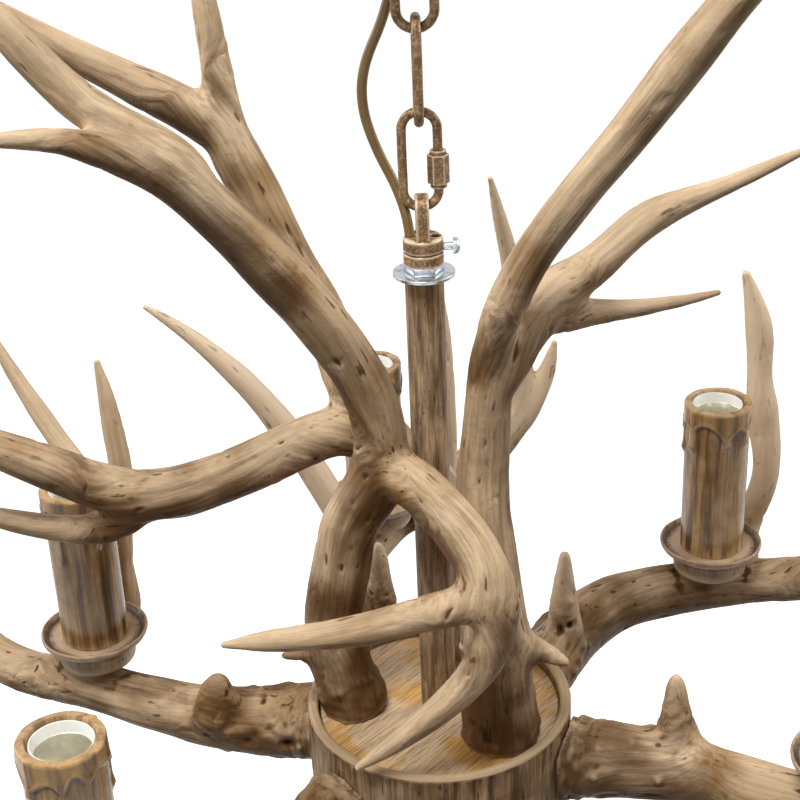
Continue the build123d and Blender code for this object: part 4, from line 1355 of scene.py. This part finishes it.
# ---- canopy and the small hidden parts ---------------------------
@dataclass
class Hardware:
    """The ceiling canopy with what holds it, and the small parts mostly out of sight."""

    canopy_parts: tuple = (("canopy", Look.antique_gold, 0.0004, 40.0, "canopy_spun"),
                           ("canopy_screws", Look.antique_gold, 0.0002),
                           ("ceiling_crossbar", Look.zinc, 0.0002),
                           ("loop_lock_nut", Look.zinc, 0.0003),
                           ("canopy_grommet", Look.black_bush, 0.0003, 32.0, "canopy_bush"))
    fasteners: tuple[str, ...] = ("threaded_rod", "bottom_washer", "arm_studs", "arm_nuts",
                                  "antler_screws", "candle_stems")
    contacts: tuple[str, ...] = ("screw_shells", "centre_contacts")

    def build(self) -> None:
        """Dresses the canopy's parts, then those of the fixture."""
        for node, look, *measures in self.canopy_parts:
            refined(node, look, "canopy", *measures)
        for nodes, look in ((self.fasteners, Look.zinc), (self.contacts, Look.brass_shell)):
            for node in nodes:
                refined(node, look, "fixture", 0.0001, 50.0)


# ---- cord --------------------------------------------------------
@dataclass
class Cord:
    """The supply cord from the cap's left hole up to the canopy."""

    radius: float = 0.0024
    hole: float = 0.0059
    grommet: tuple[float, float] = (-0.014, 0.013)
    inside_cap: float = 7.5 * MM
    above_cap: float = 4.5 * MM
    below_canopy: float = 11 * MM
    inside_canopy: float = 6 * MM
    between: tuple[Spot, ...] = ((-10.8, 6.3, 21.5), (-20, 8.5, 40), (-26, 9.5, 60),
                                 (-24.5, 10.5, 79), (-13.5, 12, 101), (-8, 12.7, 122))
    parting: float = -0.068
    fixed_above: float = -0.036
    fixed_below: float = -0.122

    def route(self) -> list[Spot]:
        """The route's points, in metres. Those between are in millimetres from the cap."""
        start = [(-self.hole, 0, CAP_TOP - self.inside_cap),
                 (-self.hole, 0, CAP_TOP + self.above_cap)]
        rise = [(x * MM, y * MM, CAP_TOP + z * MM) for x, y, z in self.between]
        end = [(*self.grommet, CANOPY_UNDER - self.below_canopy),
               (*self.grommet, CANOPY_UNDER + self.inside_canopy)]
        return start + rise + end

    def curve(self, name: str, kind: str, places: Sequence[Spot | Vector]) -> bpy.types.Curve:
        """A curve with one spline.

        Args:
            name: The curve's name.
            kind: The spline's type.
            places: Its points.

        Returns:
            The curve.
        """
        data = bpy.data.curves.new(name, "CURVE")
        data.dimensions = "3D"
        spline = data.splines.new(kind)
        spline.points.add(len(places) - 1)
        for point, place in zip(spline.points, places):
            point.co = (*place, 1.0)
        return data

    def path(self) -> list[Vector]:
        """The whole cord's line, from the cap to the canopy."""
        data = self.curve("cord_line", "NURBS", self.route())
        data.resolution_u = 16
        data.splines[0].order_u = 3
        data.splines[0].use_endpoint_u = True
        line = add_object("cord_line", data)
        found = [v.co.copy() for v in bpy.data.meshes.new_from_object(line).vertices]
        discard(line)
        return found

    def build(self) -> None:
        """Makes the cord in two stretches, parted where its line comes nearest the parting height.
        """
        path = self.path()
        joint = min(range(len(path)), key=lambda i: abs(path[i].z - self.parting))
        lower = self.stretch("cord_lower", path[:joint + 1])
        upper = self.stretch("cord_upper", path[joint:])
        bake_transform(lower)
        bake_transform(upper)

    def stretch(self, name: str, path: list[Vector]) -> Piece:
        """One stretch of the cord, as a round tube along its line."""
        data = self.curve(name, "POLY", path)
        data.bevel_depth, data.bevel_resolution = self.radius, 6
        data.use_fill_caps = True
        source = add_object(name + "_source", data)
        bpy.context.view_layer.update()
        graph = bpy.context.evaluated_depsgraph_get()
        cord = add_object(name, bpy.data.meshes.new_from_object(source.evaluated_get(graph)))
        discard(source)
        smooth_shade(cord, 50.0)
        coat(cord, Look.cord_jacket)
        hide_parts("supply_cord")
        return cord


# ---- studio ------------------------------------------------------
def seen_directly(n: Nodes) -> Socket:
    """1 for rays from the camera, a mirror or glass, and 0 for diffuse light."""
    path = n.add("ShaderNodeLightPath").outputs
    mirrored = n.math("MAXIMUM", path["Is Glossy Ray"], path["Is Transmission Ray"])
    return n.math("MAXIMUM", path["Is Camera Ray"], mirrored)


@dataclass
class Studio:
    """The camera, the soft lights and the white surroundings."""

    from_rim: Spot = (-0.0141, -0.7099, 0.5243)
    pitch: float = math.radians(25.97)
    roll: float = math.radians(-2.51)
    lens: float = 72.0
    sensor: float = 36.0
    clip: tuple[float, float] = (0.02, 50.0)
    aim_above_rim: float = 0.12
    ambient: float = 0.05
    floor_drop: float = 0.9
    floor_size: float = 60.0
    floor_glow: float = 0.97
    lights: tuple[tuple[str, Spot, float, float], ...] = (
        ("key", (-0.5, -0.8, 2.1), 0.9, 50.0), ("left", (-1.7, 0.6, 0.9), 1.0, 17.0),
        ("right", (1.7, 0.4, 0.9), 1.0, 20.0), ("front", (-0.6, -1.9, 0.5), 0.8, 4.0))

    def build(self) -> None:
        """Sets up everything that isn't part of the object."""
        self.camera()
        for light in self.lights:
            self.lamp(*light)
        self.world()
        self.floor()
        bpy.context.scene.view_settings.view_transform = "Standard"

    def camera(self) -> None:
        """The camera at the photograph's angle."""
        data = bpy.data.cameras.new("camera")
        data.lens, data.sensor_width = self.lens, self.sensor
        data.clip_start, data.clip_end = self.clip
        camera = add_object("camera", data)
        ahead = Vector((0, math.cos(self.pitch), -math.sin(self.pitch)))
        right, up = Vector((1, 0, 0)), Vector((0, math.sin(self.pitch), math.cos(self.pitch)))
        c, s = math.cos(self.roll), math.sin(self.roll)
        across, above = right * c + up * s, up * c - right * s
        x, y, z = self.from_rim
        turn = Matrix((across, above, -ahead)).transposed().to_4x4()
        camera.matrix_world = Matrix.Translation((x, y, RIM + z)) @ turn
        bpy.context.scene.camera = camera

    def lamp(self, name: str, place: Spot, size: float, power: float) -> None:
        """One square soft light, aimed at the middle of the object.

        Args:
            name: The light's name.
            place: Where it stands from the middle of the object.
            size: Its side, in metres.
            power: Its power, in watts.
        """
        data = bpy.data.lights.new(name, "AREA")
        data.size, data.energy = size, power
        obj = add_object(name, data)
        aim = Vector((0, 0, RIM + self.aim_above_rim))
        spot = Vector(place) + aim
        obj.matrix_world = (Matrix.Translation(spot)
                            @ (aim - spot).to_track_quat("-Z", "Y").to_matrix().to_4x4())

    def world(self) -> None:
        """A pale world that looks white."""
        world = bpy.data.worlds.new("surroundings")
        world.use_nodes = True
        n = Nodes(world.node_tree)
        seen = seen_directly(n)
        background = world.node_tree.nodes["Background"]
        n.put(background.inputs["Color"], n.mix(seen, (1.0, 0.96, 0.90), (1.0, 1.0, 1.0)))
        n.put(background.inputs["Strength"], n.span(seen, self.ambient, 1.0))
        bpy.context.scene.world = world

    def floor(self) -> None:
        """A white floor well below the hanging object."""
        deselect()
        bpy.ops.mesh.primitive_plane_add(size=self.floor_size,
                                         location=(0, 0, low("drum") - self.floor_drop))
        floor = bpy.context.object
        floor.name = "floor"
        material = bpy.data.materials.new("floor_white")
        material.use_nodes = True
        n = Nodes(material.node_tree)
        shader = material.node_tree.nodes["Principled BSDF"]
        shader.inputs["Roughness"].default_value = 0.9
        shader.inputs["Specular IOR Level"].default_value = 0.0
        seen = seen_directly(n)
        n.put(shader.inputs["Base Color"], n.mix(seen, (0.10, 0.08, 0.06), (0.85, 0.85, 0.85)))
        shader.inputs["Emission Color"].default_value = (1, 1, 1, 1)
        n.put(shader.inputs["Emission Strength"], n.math("MULTIPLY", seen, self.floor_glow))
        floor.data.materials.append(material)


# ---- build -------------------------------------------------------
def antlers() -> Iterable[Antler]:
    """The three standing antlers and the six arms."""
    for seed, node in enumerate(("upper_antler_left", "upper_antler_right",
                                 "upper_antler_rear"), 1):
        yield Antler(node, seed * 1.3, standing=True)
    for number in range(1, 7):
        yield Antler(f"arm_antler_{number}", 5.0 + number * 1.7, standing=False,
                     pale=0.45 if number <= 2 else 0.08)


def main() -> None:
    """Builds the chandelier's pieces in order."""
    logging.basicConfig(level=logging.INFO, format="%(name)s %(message)s")
    Studio().build()
    Cord().build()
    Chain().build()
    Stem().build()
    Drum().build()
    for antler in antlers():
        antler.build()
    Candle().build()
    Hardware().build()


if __name__ == "__main__":
    main()
